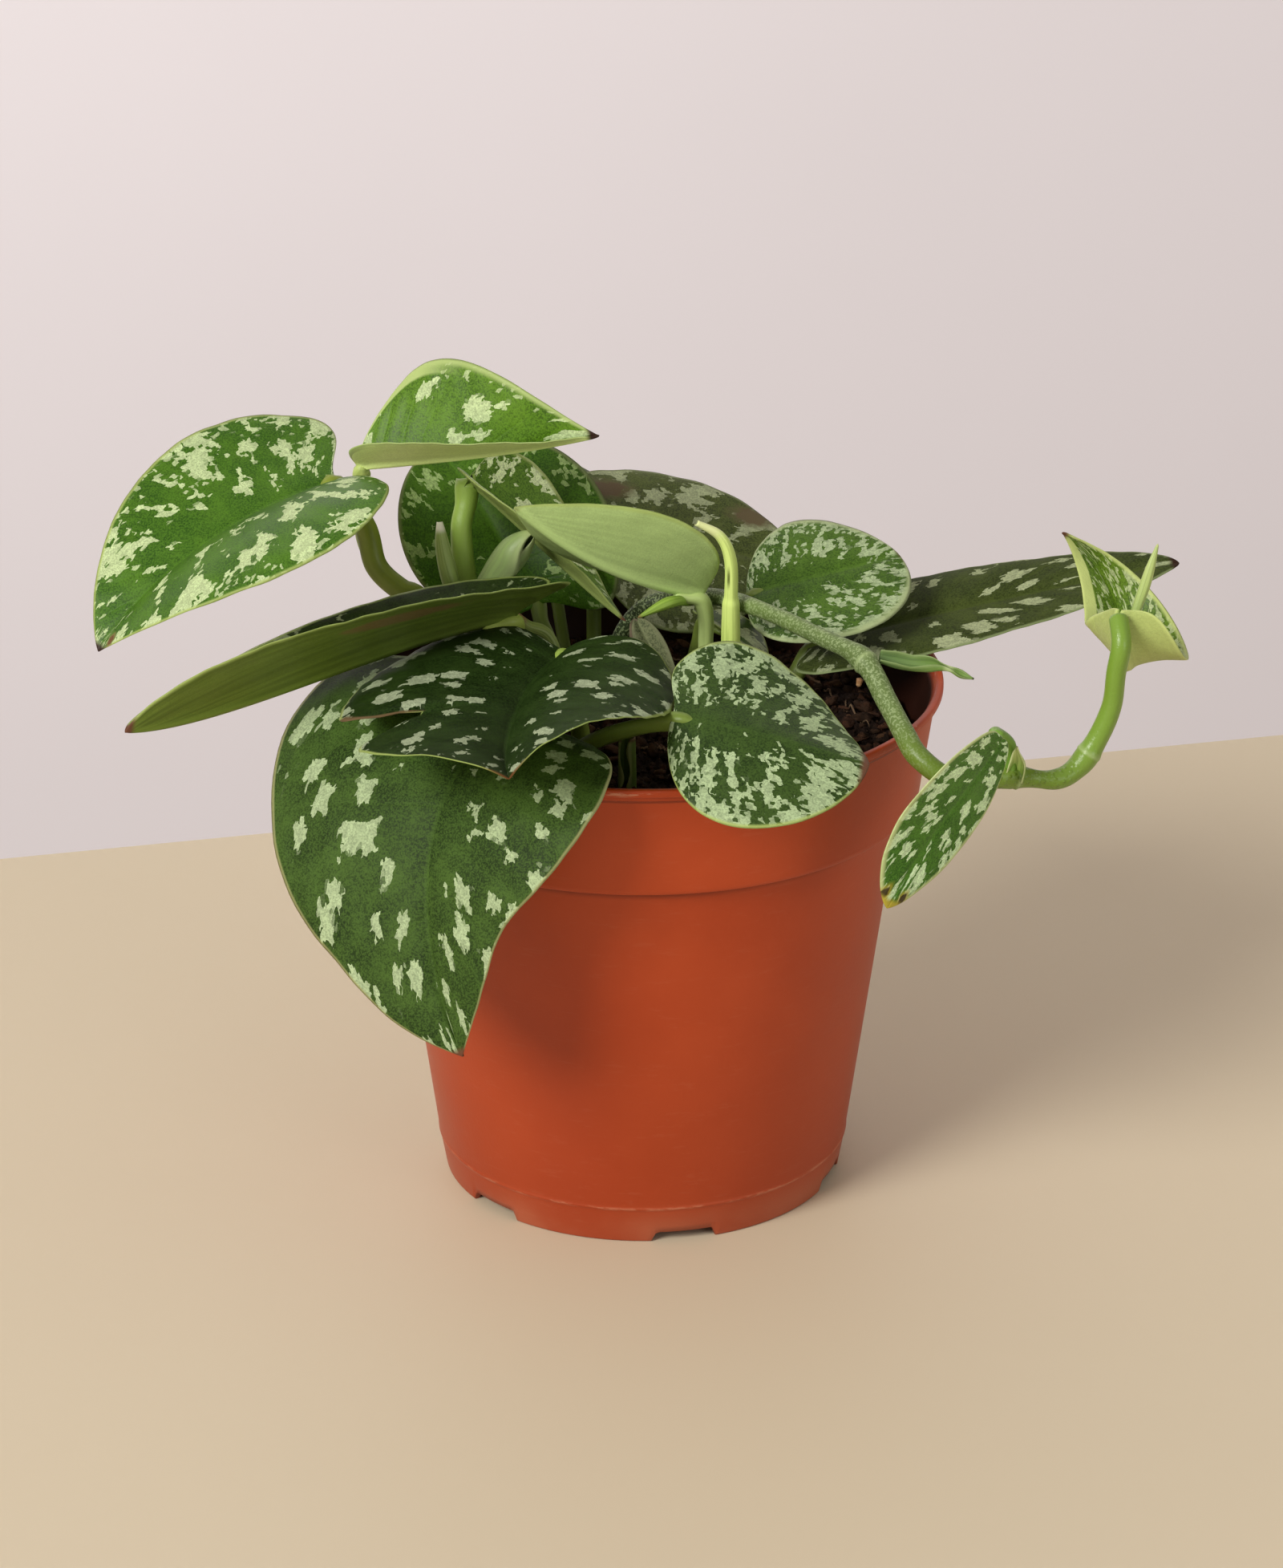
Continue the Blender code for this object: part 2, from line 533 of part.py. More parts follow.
def build_stalk(stalk, collection, sockets):
    seat = seat_under(leaf_named(stalk.leaf), np.array(stalk.points[-1]), stalk.radius)
    path = rooted_path(stalk.foot, [*stalk.points, seat])
    build_tube("stalk_" + stalk.leaf, path, np.full(len(path), stalk.radius), collection, STALK_GREEN)
    build_socket(stalk.leaf, stalk.foot, stalk.radius, sockets)


def build_runner(collection, sockets):
    """The long shoot that hangs over the rim, and the stalk of the leaf at its second node."""
    seat = seat_under(leaf_named("rolled_right"), np.array(RUNNER_POINTS[-1]), RUNNER_RADIUS)
    path = rooted_path(RUNNER_FOOT, [*RUNNER_POINTS, seat])
    radii = np.where(path[:, 0] < RUNNER_NODE_X, RUNNER_THIN_RADIUS, RUNNER_RADIUS)
    build_tube("runner", path, radii, collection, STALK_GREEN)
    build_socket("runner", RUNNER_FOOT, RUNNER_THIN_RADIUS, sockets)
    seat = seat_under(leaf_named("hanging_right"), np.array(BRANCH_POINTS[-1]), BRANCH_RADIUS)
    path = smooth_path([*BRANCH_POINTS, seat])
    build_tube("stalk_hanging_right", path, np.full(len(path), BRANCH_RADIUS), collection, STALK_GREEN)


def build_spindles(collection, sockets):
    for name, stations in ROOTED_SPINDLES.items():
        foot = stations[0][:2]
        radius = stations[0][3]
        path = smooth_path([(*foot, SOIL_LEVEL + COLLAR, radius), *stations[1:]])
        path = np.vstack([(*foot, SOIL_LEVEL - ROOT_DEPTH, radius), path])
        build_tube(name, path[:, :3], path[:, 3], collection, SHEATH_GREEN)
        build_socket(name, foot, radius, sockets)
    for name, stations in SPINDLES.items():
        path = smooth_path(stations)
        build_tube(name, path[:, :3], path[:, 3], collection, SHEATH_GREEN)


def main():
    clear_scene()
    parts = new_collection(OBJECT_NAME)
    cutters = new_collection("cutters")
    sockets = new_collection("sockets")
    build_pot(parts, cutters)
    for leaf in LEAVES:
        build_blade(leaf, parts)
    for stalk in STALKS:
        build_stalk(stalk, parts, sockets)
    build_runner(parts, sockets)
    build_spindles(parts, sockets)
    build_soil(parts, sockets)


main()
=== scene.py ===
# %% [markdown]
# # A satin pothos in a round nursery pot
#
# The plant is one of those that come home from the garden centre in a plain plastic pot: heart-shaped
# leaves with silver blotches, fleshy stalks, and one long shoot that hangs over the rim.  The solids of
# every piece are already made and packed, and this script dresses them.  Each leaf, stalk and sheath is
# worked out again as a fine surface in the same place, and gets its veins, its margin and its markings.
#
# All places are in metres, with Z up, the front of the plant towards -Y, and the pot's axis on Z.
# Leaf and stem sizes are given in millimetres, the way one would measure them, and are scaled once.

# %% Load the frame
import math
from collections import namedtuple

import bmesh
import bpy
import numpy as np
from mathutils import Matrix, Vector


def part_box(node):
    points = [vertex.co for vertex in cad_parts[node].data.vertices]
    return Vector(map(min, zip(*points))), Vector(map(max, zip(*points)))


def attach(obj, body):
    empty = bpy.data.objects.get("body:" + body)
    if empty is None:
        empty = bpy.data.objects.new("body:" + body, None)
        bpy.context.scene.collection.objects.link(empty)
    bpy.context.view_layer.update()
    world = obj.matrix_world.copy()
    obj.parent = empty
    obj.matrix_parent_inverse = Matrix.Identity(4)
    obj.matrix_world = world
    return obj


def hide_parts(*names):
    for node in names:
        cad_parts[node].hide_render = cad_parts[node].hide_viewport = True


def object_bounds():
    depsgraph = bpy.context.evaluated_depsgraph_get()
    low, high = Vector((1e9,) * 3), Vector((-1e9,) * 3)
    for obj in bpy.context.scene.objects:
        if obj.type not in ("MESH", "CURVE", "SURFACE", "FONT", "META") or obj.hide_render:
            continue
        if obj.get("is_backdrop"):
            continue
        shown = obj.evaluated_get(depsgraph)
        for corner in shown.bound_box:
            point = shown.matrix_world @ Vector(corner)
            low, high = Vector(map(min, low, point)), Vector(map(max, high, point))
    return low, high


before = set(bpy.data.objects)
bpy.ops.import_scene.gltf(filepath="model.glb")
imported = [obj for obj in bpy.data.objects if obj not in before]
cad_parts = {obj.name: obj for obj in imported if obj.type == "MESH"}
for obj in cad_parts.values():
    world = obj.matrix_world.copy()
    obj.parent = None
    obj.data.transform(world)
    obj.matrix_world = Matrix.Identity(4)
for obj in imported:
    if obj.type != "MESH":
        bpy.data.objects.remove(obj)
solid_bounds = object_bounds()
MM = 0.001


def new_object(name, data):
    """An object in the scene that shows a mesh, a lamp or a camera."""
    made = bpy.data.objects.new(name, data)
    bpy.context.scene.collection.objects.link(made)
    return made


def unit(vectors):
    """Vectors along the last axis, scaled to a length of one."""
    return vectors / np.linalg.norm(vectors, axis=-1, keepdims=True)


pot_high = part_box("pot")[1]
soil_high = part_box("potting_soil")[1]
print("the packed model has", len(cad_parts), "nodes and is",
      [round(side / MM, 1) for side in solid_bounds[1] - solid_bounds[0]], "mm")

# %% [markdown]
# ## The camera
#
# A long lens from a metre away keeps the leaves in proportion.  The camera looks down on the plant at an
# angle, so the soil shows between the leaves.  Its place is worked out from one distance and one angle,
# and it aims at the pot's axis.

# %% Set up the camera
CAMERA_DISTANCE = 1.0
CAMERA_ELEVATION = 22.7
CAMERA_LENS = 126.87
AIM = Vector((-0.0002, 0, 0.0741))

elevation = math.radians(CAMERA_ELEVATION)
camera_data = bpy.data.cameras.new("camera")
camera_data.lens = CAMERA_LENS
camera_data.sensor_width = 36
camera_data.clip_start = 0.05
camera_data.clip_end = 20
camera = new_object("camera", camera_data)
camera.location = AIM + CAMERA_DISTANCE * Vector((0, -math.cos(elevation), math.sin(elevation)))
camera.rotation_euler = (math.pi / 2 - elevation, 0, 0)
bpy.context.scene.camera = camera
bpy.context.scene.view_settings.view_transform = "Standard"
print("camera at", [round(value, 3) for value in camera.location])

# %% [markdown]
# ## Materials by arithmetic
#
# A material is a graph of nodes, and a graph is long to write down.  So a wire, the output of a node, can
# be added and multiplied here like a number, and each operation adds a Math node to the wire's own tree.
# A smooth step, a mix of two colours and a noise have one function each.

# %% Wires: shader nodes by arithmetic
class Wire:
    """An output of a shader node.  Arithmetic on wires adds Math nodes to their tree."""

    def __init__(self, socket):
        self.socket, self.tree = socket, socket.id_data

    def __abs__(self):
        return maths("ABSOLUTE", self)


for operation, method in (("ADD", "add"), ("SUBTRACT", "sub"), ("MULTIPLY", "mul"), ("DIVIDE", "truediv")):
    setattr(Wire, "__%s__" % method, lambda one, other, do=operation: maths(do, one, other))
    setattr(Wire, "__r%s__" % method, lambda one, other, do=operation: maths(do, other, one))


def connect(value, socket):
    """Link a wire to a socket, or set the socket to a plain value."""
    if isinstance(value, Wire):
        value.tree.links.new(value.socket, socket)
    else:
        socket.default_value = value


def add(tree, kind, inputs=None, **settings):
    """Add a node, with its settings and inputs.  Its outputs come back by name and by number."""
    made = tree.nodes.new("ShaderNode" + kind)
    for name, value in settings.items():
        setattr(made, name, value)
    for name, value in (inputs or {}).items():
        connect(value, made.inputs[name])
    wires = [Wire(socket) for socket in made.outputs]
    return {**dict(enumerate(wires)), **{wire.socket.name: wire for wire in wires}}


def make(kind, *values, **settings):
    """Add a node to the tree of the first wire among the values, which are its first inputs."""
    tree = next(value.tree for value in values if isinstance(value, Wire))
    return add(tree, kind, dict(enumerate(values)), **settings)


# %% The nodes that come again and again
def maths(operation, *values):
    """One Math node on one to three values or wires."""
    return make("Math", *values, operation=operation)[0]


def fade(value, start, end, low=0.0, high=1.0):
    """Low before start, high after end, and a smooth step between them."""
    return make("MapRange", value, start, end, low, high, interpolation_type="SMOOTHSTEP")[0]


def blend(factor, first, second):
    """Mix of two colours."""
    return add(factor.tree, "Mix", {0: factor, 6: first, 7: second}, data_type="RGBA")[2]


def stretch(place, factors):
    """A place with its coordinates multiplied by three factors."""
    return make("VectorMath", place, factors, operation="MULTIPLY")[0]


def noise(place, scale, detail, **more):
    """Soft noise around one half, with so many waves to a unit of the place."""
    return add(place.tree, "TexNoise", {"Vector": place, "Scale": scale, "Detail": detail, **more})["Fac"]


def object_place(tree):
    """The place on the object, in metres."""
    return add(tree, "TexCoord")["Object"]


def surface_place(tree):
    """The place on the UV map of a sheet."""
    return add(tree, "UVMap", uv_map="surface")[0]


def point_value(tree, name):
    """A number that the mesh keeps for each of its points."""
    return add(tree, "Attribute", attribute_name=name)["Fac"]


def place_group(tree, group, **inputs):
    """A node group in a tree, with its own values."""
    return add(tree, "Group", inputs, node_tree=group)


# %% Materials and node groups
def new_material(name, roughness=0.5, **constants):
    """A material with one Principled shader, whose constant sockets are set here."""
    material = bpy.data.materials.new(name)
    material.use_nodes = True
    inputs = material.node_tree.nodes["Principled BSDF"].inputs
    for socket, value in {"Roughness": roughness, **constants}.items():
        inputs[socket.replace("_", " ")].default_value = value
    return material, material.node_tree


def finish_with(material, colour, roughness=None, height=None, distance=0.0002, strength=1.0):
    """Link a colour, a roughness and a bump height to the material's shader, and give the material."""
    inputs = material.node_tree.nodes["Principled BSDF"].inputs
    connect(colour, inputs["Base Color"])
    if roughness is not None:
        connect(roughness, inputs["Roughness"])
    if height is not None:
        bump = add(height.tree, "Bump", {"Height": height, "Distance": distance, "Strength": strength})
        connect(bump[0], inputs["Normal"])
    return material


def new_group(name, inputs, *outputs):
    """An empty node group of float sockets: the group, its input wires, and how to set an output."""
    group = bpy.data.node_groups.new(name, "ShaderNodeTree")
    for label in (*inputs, *outputs):
        side = "INPUT" if label in inputs else "OUTPUT"
        socket = group.interface.new_socket(label, in_out=side, socket_type="NodeSocketFloat")
        socket.default_value = inputs.get(label, 0.0)
    given = {socket.name: Wire(socket) for socket in group.nodes.new("NodeGroupInput").outputs}
    result = group.nodes.new("NodeGroupOutput").inputs
    return group, given, lambda label, wire: connect(wire, result[label])


# %% [markdown]
# ## The table, the wall and the light
#
# The stage is a pale table top whose back edge runs at a slant behind the pot, and a pale wall well
# behind it.  The light comes from one large soft lamp at the upper left, with a weak fill from the right
# and a pale world around, so the shadow falls to the right and stays soft.  Nothing of the stage belongs
# to the plant, so it is marked as stage.

# %% Build the stage
TABLE_EDGE_POINT = (0.0, 0.17)
TABLE_EDGE_TURN = math.radians(14)
WALL_DISTANCE = 1.9
TABLE_COLOUR = (0.625, 0.535, 0.385, 1)
WALL_COLOUR = (0.755, 0.7, 0.71, 1)


def flat_piece(name, corners, colour, roughness):
    """One flat stage piece with a plain material that is very slightly uneven."""
    mesh = bpy.data.meshes.new(name)
    mesh.from_pydata(corners, [], [range(len(corners))])
    piece = new_object(name, mesh)
    material, tree = new_material(name, roughness)
    cloud = noise(object_place(tree), 4.0, 3.0)
    darker = tuple(0.96 * value for value in colour[:3]) + (1,)
    mesh.materials.append(finish_with(material, blend(cloud, darker, colour)))
    piece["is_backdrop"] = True
    return piece


edge_way = Vector((math.cos(TABLE_EDGE_TURN), math.sin(TABLE_EDGE_TURN), 0))
edge_middle = Vector((*TABLE_EDGE_POINT, 0))
front_way = Vector((edge_way.y, -edge_way.x, 0))
table_corners = [edge_middle - 3 * edge_way, edge_middle - 3 * edge_way + 4 * front_way,
                 edge_middle + 3 * edge_way + 4 * front_way, edge_middle + 3 * edge_way]
flat_piece("table_top", table_corners, TABLE_COLOUR, 0.6)
wall_foot = edge_middle - WALL_DISTANCE * front_way - Vector((0, 0, 2))
wall_corners = [wall_foot - 4 * edge_way, wall_foot + 4 * edge_way,
                wall_foot + 4 * edge_way + Vector((0, 0, 5)), wall_foot - 4 * edge_way + Vector((0, 0, 5))]
flat_piece("wall", wall_corners, WALL_COLOUR, 0.9)


# %% Hang the lamps
def soft_lamp(name, place, target, size, power, colour):
    """A round lamp that looks at its target.  A larger one gives softer shadows."""
    lamp = bpy.data.lights.new(name, "AREA")
    lamp.shape = "DISK"
    lamp.size = size
    lamp.energy = power
    lamp.color = colour
    holder = new_object(name, lamp)
    holder.location = place
    holder.rotation_euler = (Vector(target) - Vector(place)).to_track_quat("-Z", "Y").to_euler()


soft_lamp("key_lamp", (-2.5, -2.6, 2.4), (0, 0, 0.06), 1.9, 168, (1, 0.975, 0.93))
soft_lamp("fill_lamp", (1.5, -1.6, 0.6), (0, 0, 0.08), 1.2, 8, (0.97, 0.98, 1))
soft_lamp("wall_lamp", (-0.6, 0.7, 0.9), (-0.2, 2.0, 0.9), 1.2, 21, (0.98, 0.98, 1))
world = bpy.data.worlds.new("pale_room")
bpy.context.scene.world = world
world.use_nodes = True
world.node_tree.nodes["Background"].inputs["Color"].default_value = (0.91, 0.84, 0.79, 1)
world.node_tree.nodes["Background"].inputs["Strength"].default_value = 0.52

# %% [markdown]
# ## Surfaces from whole arrays
#
# Every new piece is a sheet of points with two parameters: rows run one way and columns the other.  The
# points are worked out for the whole sheet at once, and one helper turns the sheet into a mesh.  Where a
# sheet closes on itself, as a tube does, the last column joins the first.  Points that fall together, at
# a tip or a pole, are merged, so every piece is closed.

# %% Turn a sheet of points into a piece
MERGE_DISTANCE = 0.003 * MM


def signed_volume(points, quads):
    """Six times the volume inside closed faces: the sum of a . (b x c) over both halves of each quad."""
    a, b, c, d = (points[quads[:, i]] for i in range(4))
    return (a * np.cross(b, c)).sum() + (a * np.cross(c, d)).sum()


def sheet_quads(rows, columns, ring=False):
    """Corner numbers of the quads of a sheet, as an array with one quad to a row."""
    index = np.arange(rows * columns).reshape(rows, columns)
    if ring:
        index = np.concatenate([index, index[:, :1]], axis=1)
    corners = [index[:-1, :-1], index[:-1, 1:], index[1:, 1:], index[1:, :-1]]
    return np.stack(corners, -1).reshape(-1, 4)


def mesh_from(name, points, quads, uv=None, values=None):
    """Mesh data from an array of points and an array of quads, with a UV map and point values."""
    mesh = bpy.data.meshes.new(name)
    mesh.vertices.add(len(points))
    mesh.vertices.foreach_set("co", np.asarray(points, np.float32).ravel())
    mesh.loops.add(quads.size)
    mesh.loops.foreach_set("vertex_index", quads.astype(np.int32).ravel())
    mesh.polygons.add(len(quads))
    mesh.polygons.foreach_set("loop_start", np.arange(0, quads.size, 4, dtype=np.int32))
    mesh.update(calc_edges=True)
    mesh.validate()
    if uv is not None:
        layer = mesh.uv_layers.new(name="surface")
        layer.uv.foreach_set("vector", np.asarray(uv, np.float32).ravel())
    for label, numbers in (values or {}).items():
        attribute = mesh.attributes.new(label, "FLOAT", "POINT")
        attribute.data.foreach_set("value", np.asarray(numbers, np.float32).ravel())
    return mesh


def piece_from(mesh):
    """Merge the points that fall together, shade the mesh smoothly, and put it in the scene."""
    shape = bmesh.new()
    shape.from_mesh(mesh)
    bmesh.ops.remove_doubles(shape, verts=shape.verts, dist=MERGE_DISTANCE)
    shape.to_mesh(mesh)
    shape.free()
    mesh.shade_smooth()
    return new_object(mesh.name, mesh)


def surface(name, sheet, uv=None, values=None):
    """A smooth closed piece from a sheet of points, rows x columns x 3 in millimetres.

    The last column joins the first, and uv has one column more than points.  The faces are turned
    outwards, and points that fall together are merged.
    """
    rows, columns = sheet.shape[:2]
    points = sheet.reshape(-1, 3) * MM
    quads = sheet_quads(rows, columns, ring=True)
    corner_uv = None if uv is None else uv.reshape(-1, 2)[sheet_quads(rows, columns + 1)]
    if signed_volume(points, quads) < 0:
        quads = quads[:, ::-1]
        corner_uv = None if uv is None else corner_uv[:, ::-1]
    return piece_from(mesh_from(name, points, quads, corner_uv, values))


def settle(piece, nodes, material):
    """The piece rides with the plant, stands for its solids, and takes its material."""
    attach(piece, "root")
    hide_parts(*nodes)
    piece.data.materials.clear()
    piece.data.materials.append(material)


def waves(points, sizes, seed):
    """Soft uneven noise from -1 to 1: the mean of sines of three mixed coordinates, for each size."""
    generator = np.random.default_rng(seed)
    total = np.zeros(points.shape[:-1])
    for size in sizes:
        way = unit(generator.normal(size=(3, points.shape[-1]))) * 2 * np.pi / size
        phase = generator.uniform(0, 2 * np.pi, 3)
        total += np.prod(np.sin(points @ way.T + phase), axis=-1)
    return total / len(sizes)


# %% [markdown]
# ## The leaf formula
#
# A leaf of this plant is a heart with a pointed tip.  The midrib is a curve in space that starts at the
# joint with the stalk, and droops, swings and twists on its way to the tip.  From it, side veins sweep
# forward to the margin.  So a point on the blade has two parameters: u says which side vein it is on,
# from the notch to the tip, and v says how far out it is, from -1 at the right margin to 1 at the left.
# Each half is bent to an arc that leaves the midrib at the fold and turns by the curl.
#
# One formula makes all the leaves, and each has its own line of measures.  They are the measures that
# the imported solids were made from, so the fine blade lies where the solid one does.

# %% Measures of the leaves
# joint: where the stalk meets the blade.  aim: yaw, pitch and roll of the blade there, in degrees.
# half: widths of the left and right half.  lobe: how far each half reaches back past the joint.
# bend: droop, sweep and twist from joint to tip, in degrees.  shoulder and hook: more droop close to
# the joint and close to the tip.  fold: how far each half is lifted at the midrib.  curl: how far it
# turns on to its margin.  spread: the fold at the tip as a share of the fold at the joint.
# taper: 0 is a round outline, 1 and more a pointed one.
Leaf = namedtuple("Leaf", "name joint aim length half lobe bend shoulder hook fold curl spread taper")

LEAVES = [
    Leaf("far_left", (-55, 8.5, 129), (-152, -7, 5), 54, (28.5, 23), (9, 13), (43, 5, -16), -4, 3,
         (21, 20), (-39, 10), (1.1, 1.1), 0.8),
    Leaf("top", (-50.5, 13, 130.5), (-16, 8, 3), 45.5, (18, 12), (-2.5, 3), (-5, 3, 20), -2, -1,
         (55, 44), (-8, -2), (1.3, 1), 1.15),
    Leaf("long_left", (-23, -3, 107.9), (-157.5, -4, 7.5), 77, (21.5, 13), (18.5, 20.5), (-12.5, 14, -1),
         14, -12, (40, 25), (-26, 0), (1.7, 1.5), 0.3),
    Leaf("draped", (-20.5, -34.5, 99.9), (-140, 11, -2), 68, (30, 40), (10, 20), (17, 47, -6), 77, 2,
         (8, 9), (-17, -20), (1, 1.2), 1.0),
    Leaf("torn_front", (-14, -13.5, 105), (-113, 1.5, 11), 67, (29.5, 31.5), (7, 13), (-14, 32, 4), 14,
         -7, (26, 28), (-80, -51), (1.5, 1.6), 0.1),
    Leaf("round_front", (5.5, -47.8, 106.5), (-21, 0, 35), 34.5, (22.5, 18.5), (9.5, 0.5), (16, 9, -20),
         10, -1, (-15, -9), (4, -3), (1.3, 1.1), 0.2),
    Leaf("centre", (10.5, 8, 108), (-154, 13, 14), 42.5, (15, 12), (3, 2), (-28, 7, 18), -5, 0,
         (42, 10), (2, 0), (1.2, 1), 0.8),
    Leaf("folded", (-31, 21, 125.1), (-21, -38, -5), 38, (14, 10.5), (4, 7), (0, 6, -24), 2, -4,
         (26, 22), (1, 3), (0.8, 1), 1.2),
    Leaf("dark_back", (-19.5, 26, 99.3), (143, 52.5, -57.5), 36, (17, 20.5), (1, 12.5), (30, 6, 36),
         -3, 2.5, (6, 9), (-8, 0), (1.1, 1), 0.1),
    Leaf("brown_back", (-8.5, 41, 107), (16, -10, 24), 39, (20, 23), (11, 5), (-1, -22, 6), -3, 0,
         (2, 3), (-10, -9), (1, 1), 0.4),
    Leaf("far_back", (-22, 63, 111), (3, -1, -9), 15, (11.5, 10), (1, 3), (9, 3, -1), 0, 0,
         (9, 10), (1, 0), (1, 1), 1.0),
    Leaf("right_heart", (19.5, 19, 103.6), (-13, 23, 37.5), 29, (16.5, 18.5), (1.5, 1), (17, 26, -4), 18,
         -3, (-5, 10), (-10, 6), (1.1, 0.8), 0.1),
    Leaf("long_right", (30.5, 15, 95), (7, 14, 15), 69, (16, 14), (5.5, 11.5), (-5, -4, -9), 6, 1,
         (7, 7), (-26, 0), (1, 1), 0.3),
    Leaf("rolled_right", (82.5, -29.5, 118.5), (90, -95, 25), 54.5, (11, 11), (1, 4), (-222, 14, -62),
         -8, 1, (47, 17), (16, -27), (1.1, 1), 1.1),
    Leaf("hanging_right", (61.5, -46.5, 101.6), (-153, -51, 60), 35, (12, 10), (3, 1.5), (12, -7, 24),
         -11, 2, (4, 3), (-9, -5), (1, 1), 0.5),
    Leaf("dry_strip", (-1, 14.5, 100), (-45, -52, 20), 15, (3.2, 3), (0.5, 0.5), (-20, 5, 30), 0, 0,
         (25, 20), (10, 10), (1, 1), 0.2),
    Leaf("dry_curled", (-12.5, 0.5, 84.9), (68, 58, -10), 17, (4.5, 5), (-0.5, -0.5), (30, 8, 20), 0, 0,
         (30, 25), (20, 20), (1, 1), 0.2),
    Leaf("low_centre", (11.5, 18.5, 99.5), (-47, -10, -19), 18, (9.5, 4.5), (4.5, 3), (15, 2, -11),
         -1, 0, (8, 10), (-1, 0), (1, 1), 1.05),
]
leaf_named = {leaf.name: leaf for leaf in LEAVES}

# Where a margin is drawn in: a waist before the tip, or a tear.  row: on which side vein.  side: 1 for
# the left half and -1 for the right.  depth: share of the vein that is missing in the middle of the cut.
MarginCut = namedtuple("MarginCut", "row side depth width power")
MARGIN_CUTS = {
    "draped": [MarginCut(0.67, 1, 0.09, 0.08, 2), MarginCut(0.71, -1, 0.05, 0.06, 2)],
    "torn_front": [MarginCut(0.62, -1, 0.5, 0.013, 1.2)],
}
NOTCH_WIDTH = 0.42
TIP_WIDTH = 0.35
VEIN_SWEEP = 1.7
VEIN_BOW = 1.25
MIDRIB_STEPS = 240


# %% Walk along the midrib
def turn_about(axis, degrees):
    """Rotation matrix about a local axis: 0 is x, 1 is y and 2 is z."""
    angle = math.radians(degrees)
    cosine, sine = math.cos(angle), math.sin(angle)
    a, b = (axis + 1) % 3, (axis + 2) % 3
    matrix = np.eye(3)
    matrix[a, a] = matrix[b, b] = cosine
    matrix[a, b], matrix[b, a] = -sine, sine
    return matrix


def small_turn(rates):
    """Rotation matrix for a small turn, given as a vector of degrees about x, y and z."""
    vector = np.radians(rates)
    angle = np.linalg.norm(vector) + 1e-12
    x, y, z = vector / angle
    cross = np.array([[0, -z, y], [z, 0, -x], [-y, x, 0]])
    return np.eye(3) + math.sin(angle) * cross + (1 - math.cos(angle)) * cross @ cross


def joint_frame(leaf):
    """The frame of a blade at its joint: ahead, left and up are the columns."""
    yaw, pitch, roll = leaf.aim
    return turn_about(2, yaw) @ turn_about(1, -pitch) @ turn_about(0, roll)


def midrib(leaf, steps=MIDRIB_STEPS):
    """Stations along the midrib in millimetres, with the place and the frame at each.

    The frame starts as yaw * pitch * roll and turns by droop, sweep and twist on its way to the tip.
    Stations behind the joint carry the lobes.
    """
    droop, sweep, twist = leaf.bend
    back = max(leaf.lobe) + 1

    def walk(stations):
        place = np.array(leaf.joint, float)
        turned = joint_frame(leaf)
        places, frames = [place], [turned]
        for start, end in zip(stations[:-1], stations[1:]):
            middle = (start + end) / 2 / leaf.length
            rates = np.array([0, droop, sweep], float)
            if middle > 0:
                rates[0] = twist
                rates[1] += leaf.shoulder * 3 * (1 - middle) ** 2 + leaf.hook * 5 * middle ** 4
            half_turn = small_turn(rates * (end - start) / leaf.length / 2)
            place = place + (end - start) * (turned @ half_turn)[:, 0]
            turned = turned @ half_turn @ half_turn
            places.append(place)
            frames.append(turned)
        return np.array(places), np.array(frames)

    ahead = np.linspace(0, leaf.length, steps + 1)
    behind = np.linspace(0, -back, 41)
    places_ahead, frames_ahead = walk(ahead)
    places_behind, frames_behind = walk(behind)
    stations = np.concatenate([behind[:0:-1], ahead])
    places = np.concatenate([places_behind[:0:-1], places_ahead])
    frames = np.concatenate([frames_behind[:0:-1], frames_ahead])
    return stations, places, frames


# %% The blade as a sheet of points
def margin(leaf, angle, half, lobe):
    """Outline of a heart-shaped half blade, flat, for an angle of pi at the notch and 0 at the tip.

    along = centre + half_length * cos(angle) + lobe * exp(-((pi - angle) / NOTCH_WIDTH)^2)
    across = half * sin(angle) * sin(angle / 2)^taper, scaled so that its greatest value is half
    """
    half_length = (leaf.length + lobe) / 2
    notch = (lobe - 0.6) * np.exp(-((np.pi - angle) / NOTCH_WIDTH) ** 2)
    along = leaf.length - half_length + half_length * np.cos(angle) + notch
    sweep = np.linspace(0, np.pi, 200)
    greatest = (np.sin(sweep) * np.sin(sweep / 2) ** leaf.taper).max()
    across = half * np.sin(angle) * np.sin(angle / 2) ** leaf.taper / greatest
    return along, np.maximum(across, TIP_WIDTH * np.minimum(1, angle / 0.3))


def blade_points(leaf, u, v):
    """Points of a blade in millimetres, and the place of each on the flat blade: across and along."""
    left = v >= 0
    half = np.where(left, *leaf.half)
    lobe = np.where(left, *leaf.lobe)
    rise = np.abs(v)
    margin_along, margin_across = margin(leaf, np.pi * (1 - u), half, lobe)
    if leaf.name in MARGIN_CUTS:
        for cut in MARGIN_CUTS[leaf.name]:
            here = np.exp(-np.abs((u - cut.row) / cut.width) ** cut.power) * (np.sign(v) == cut.side)
            rise = rise * (1 - cut.depth * here)
    root = leaf.length * u ** VEIN_SWEEP
    along = root + (margin_along - root) * rise ** VEIN_BOW
    across = margin_across * rise
    stations, places, frames = midrib(leaf)
    place, left_way, up_way = [
        np.stack([np.interp(along, stations, column) for column in table.T], -1)
        for table in (places, frames[:, :, 1], frames[:, :, 2])
    ]
    toward_tip = np.clip(along / leaf.length, 0, 1)
    fold = np.where(left, *leaf.fold) * (1 + (np.where(left, *leaf.spread) - 1) * toward_tip)
    turn = np.radians(np.where(left, *leaf.curl)) / half * across
    slope = np.radians(fold) + turn / 2
    reach = across * np.sinc(turn / 2 / np.pi)
    sideways = np.where(left, 1, -1) * reach * np.cos(slope)
    points = place + sideways[..., None] * left_way + (reach * np.sin(slope))[..., None] * up_way
    return points, across, along


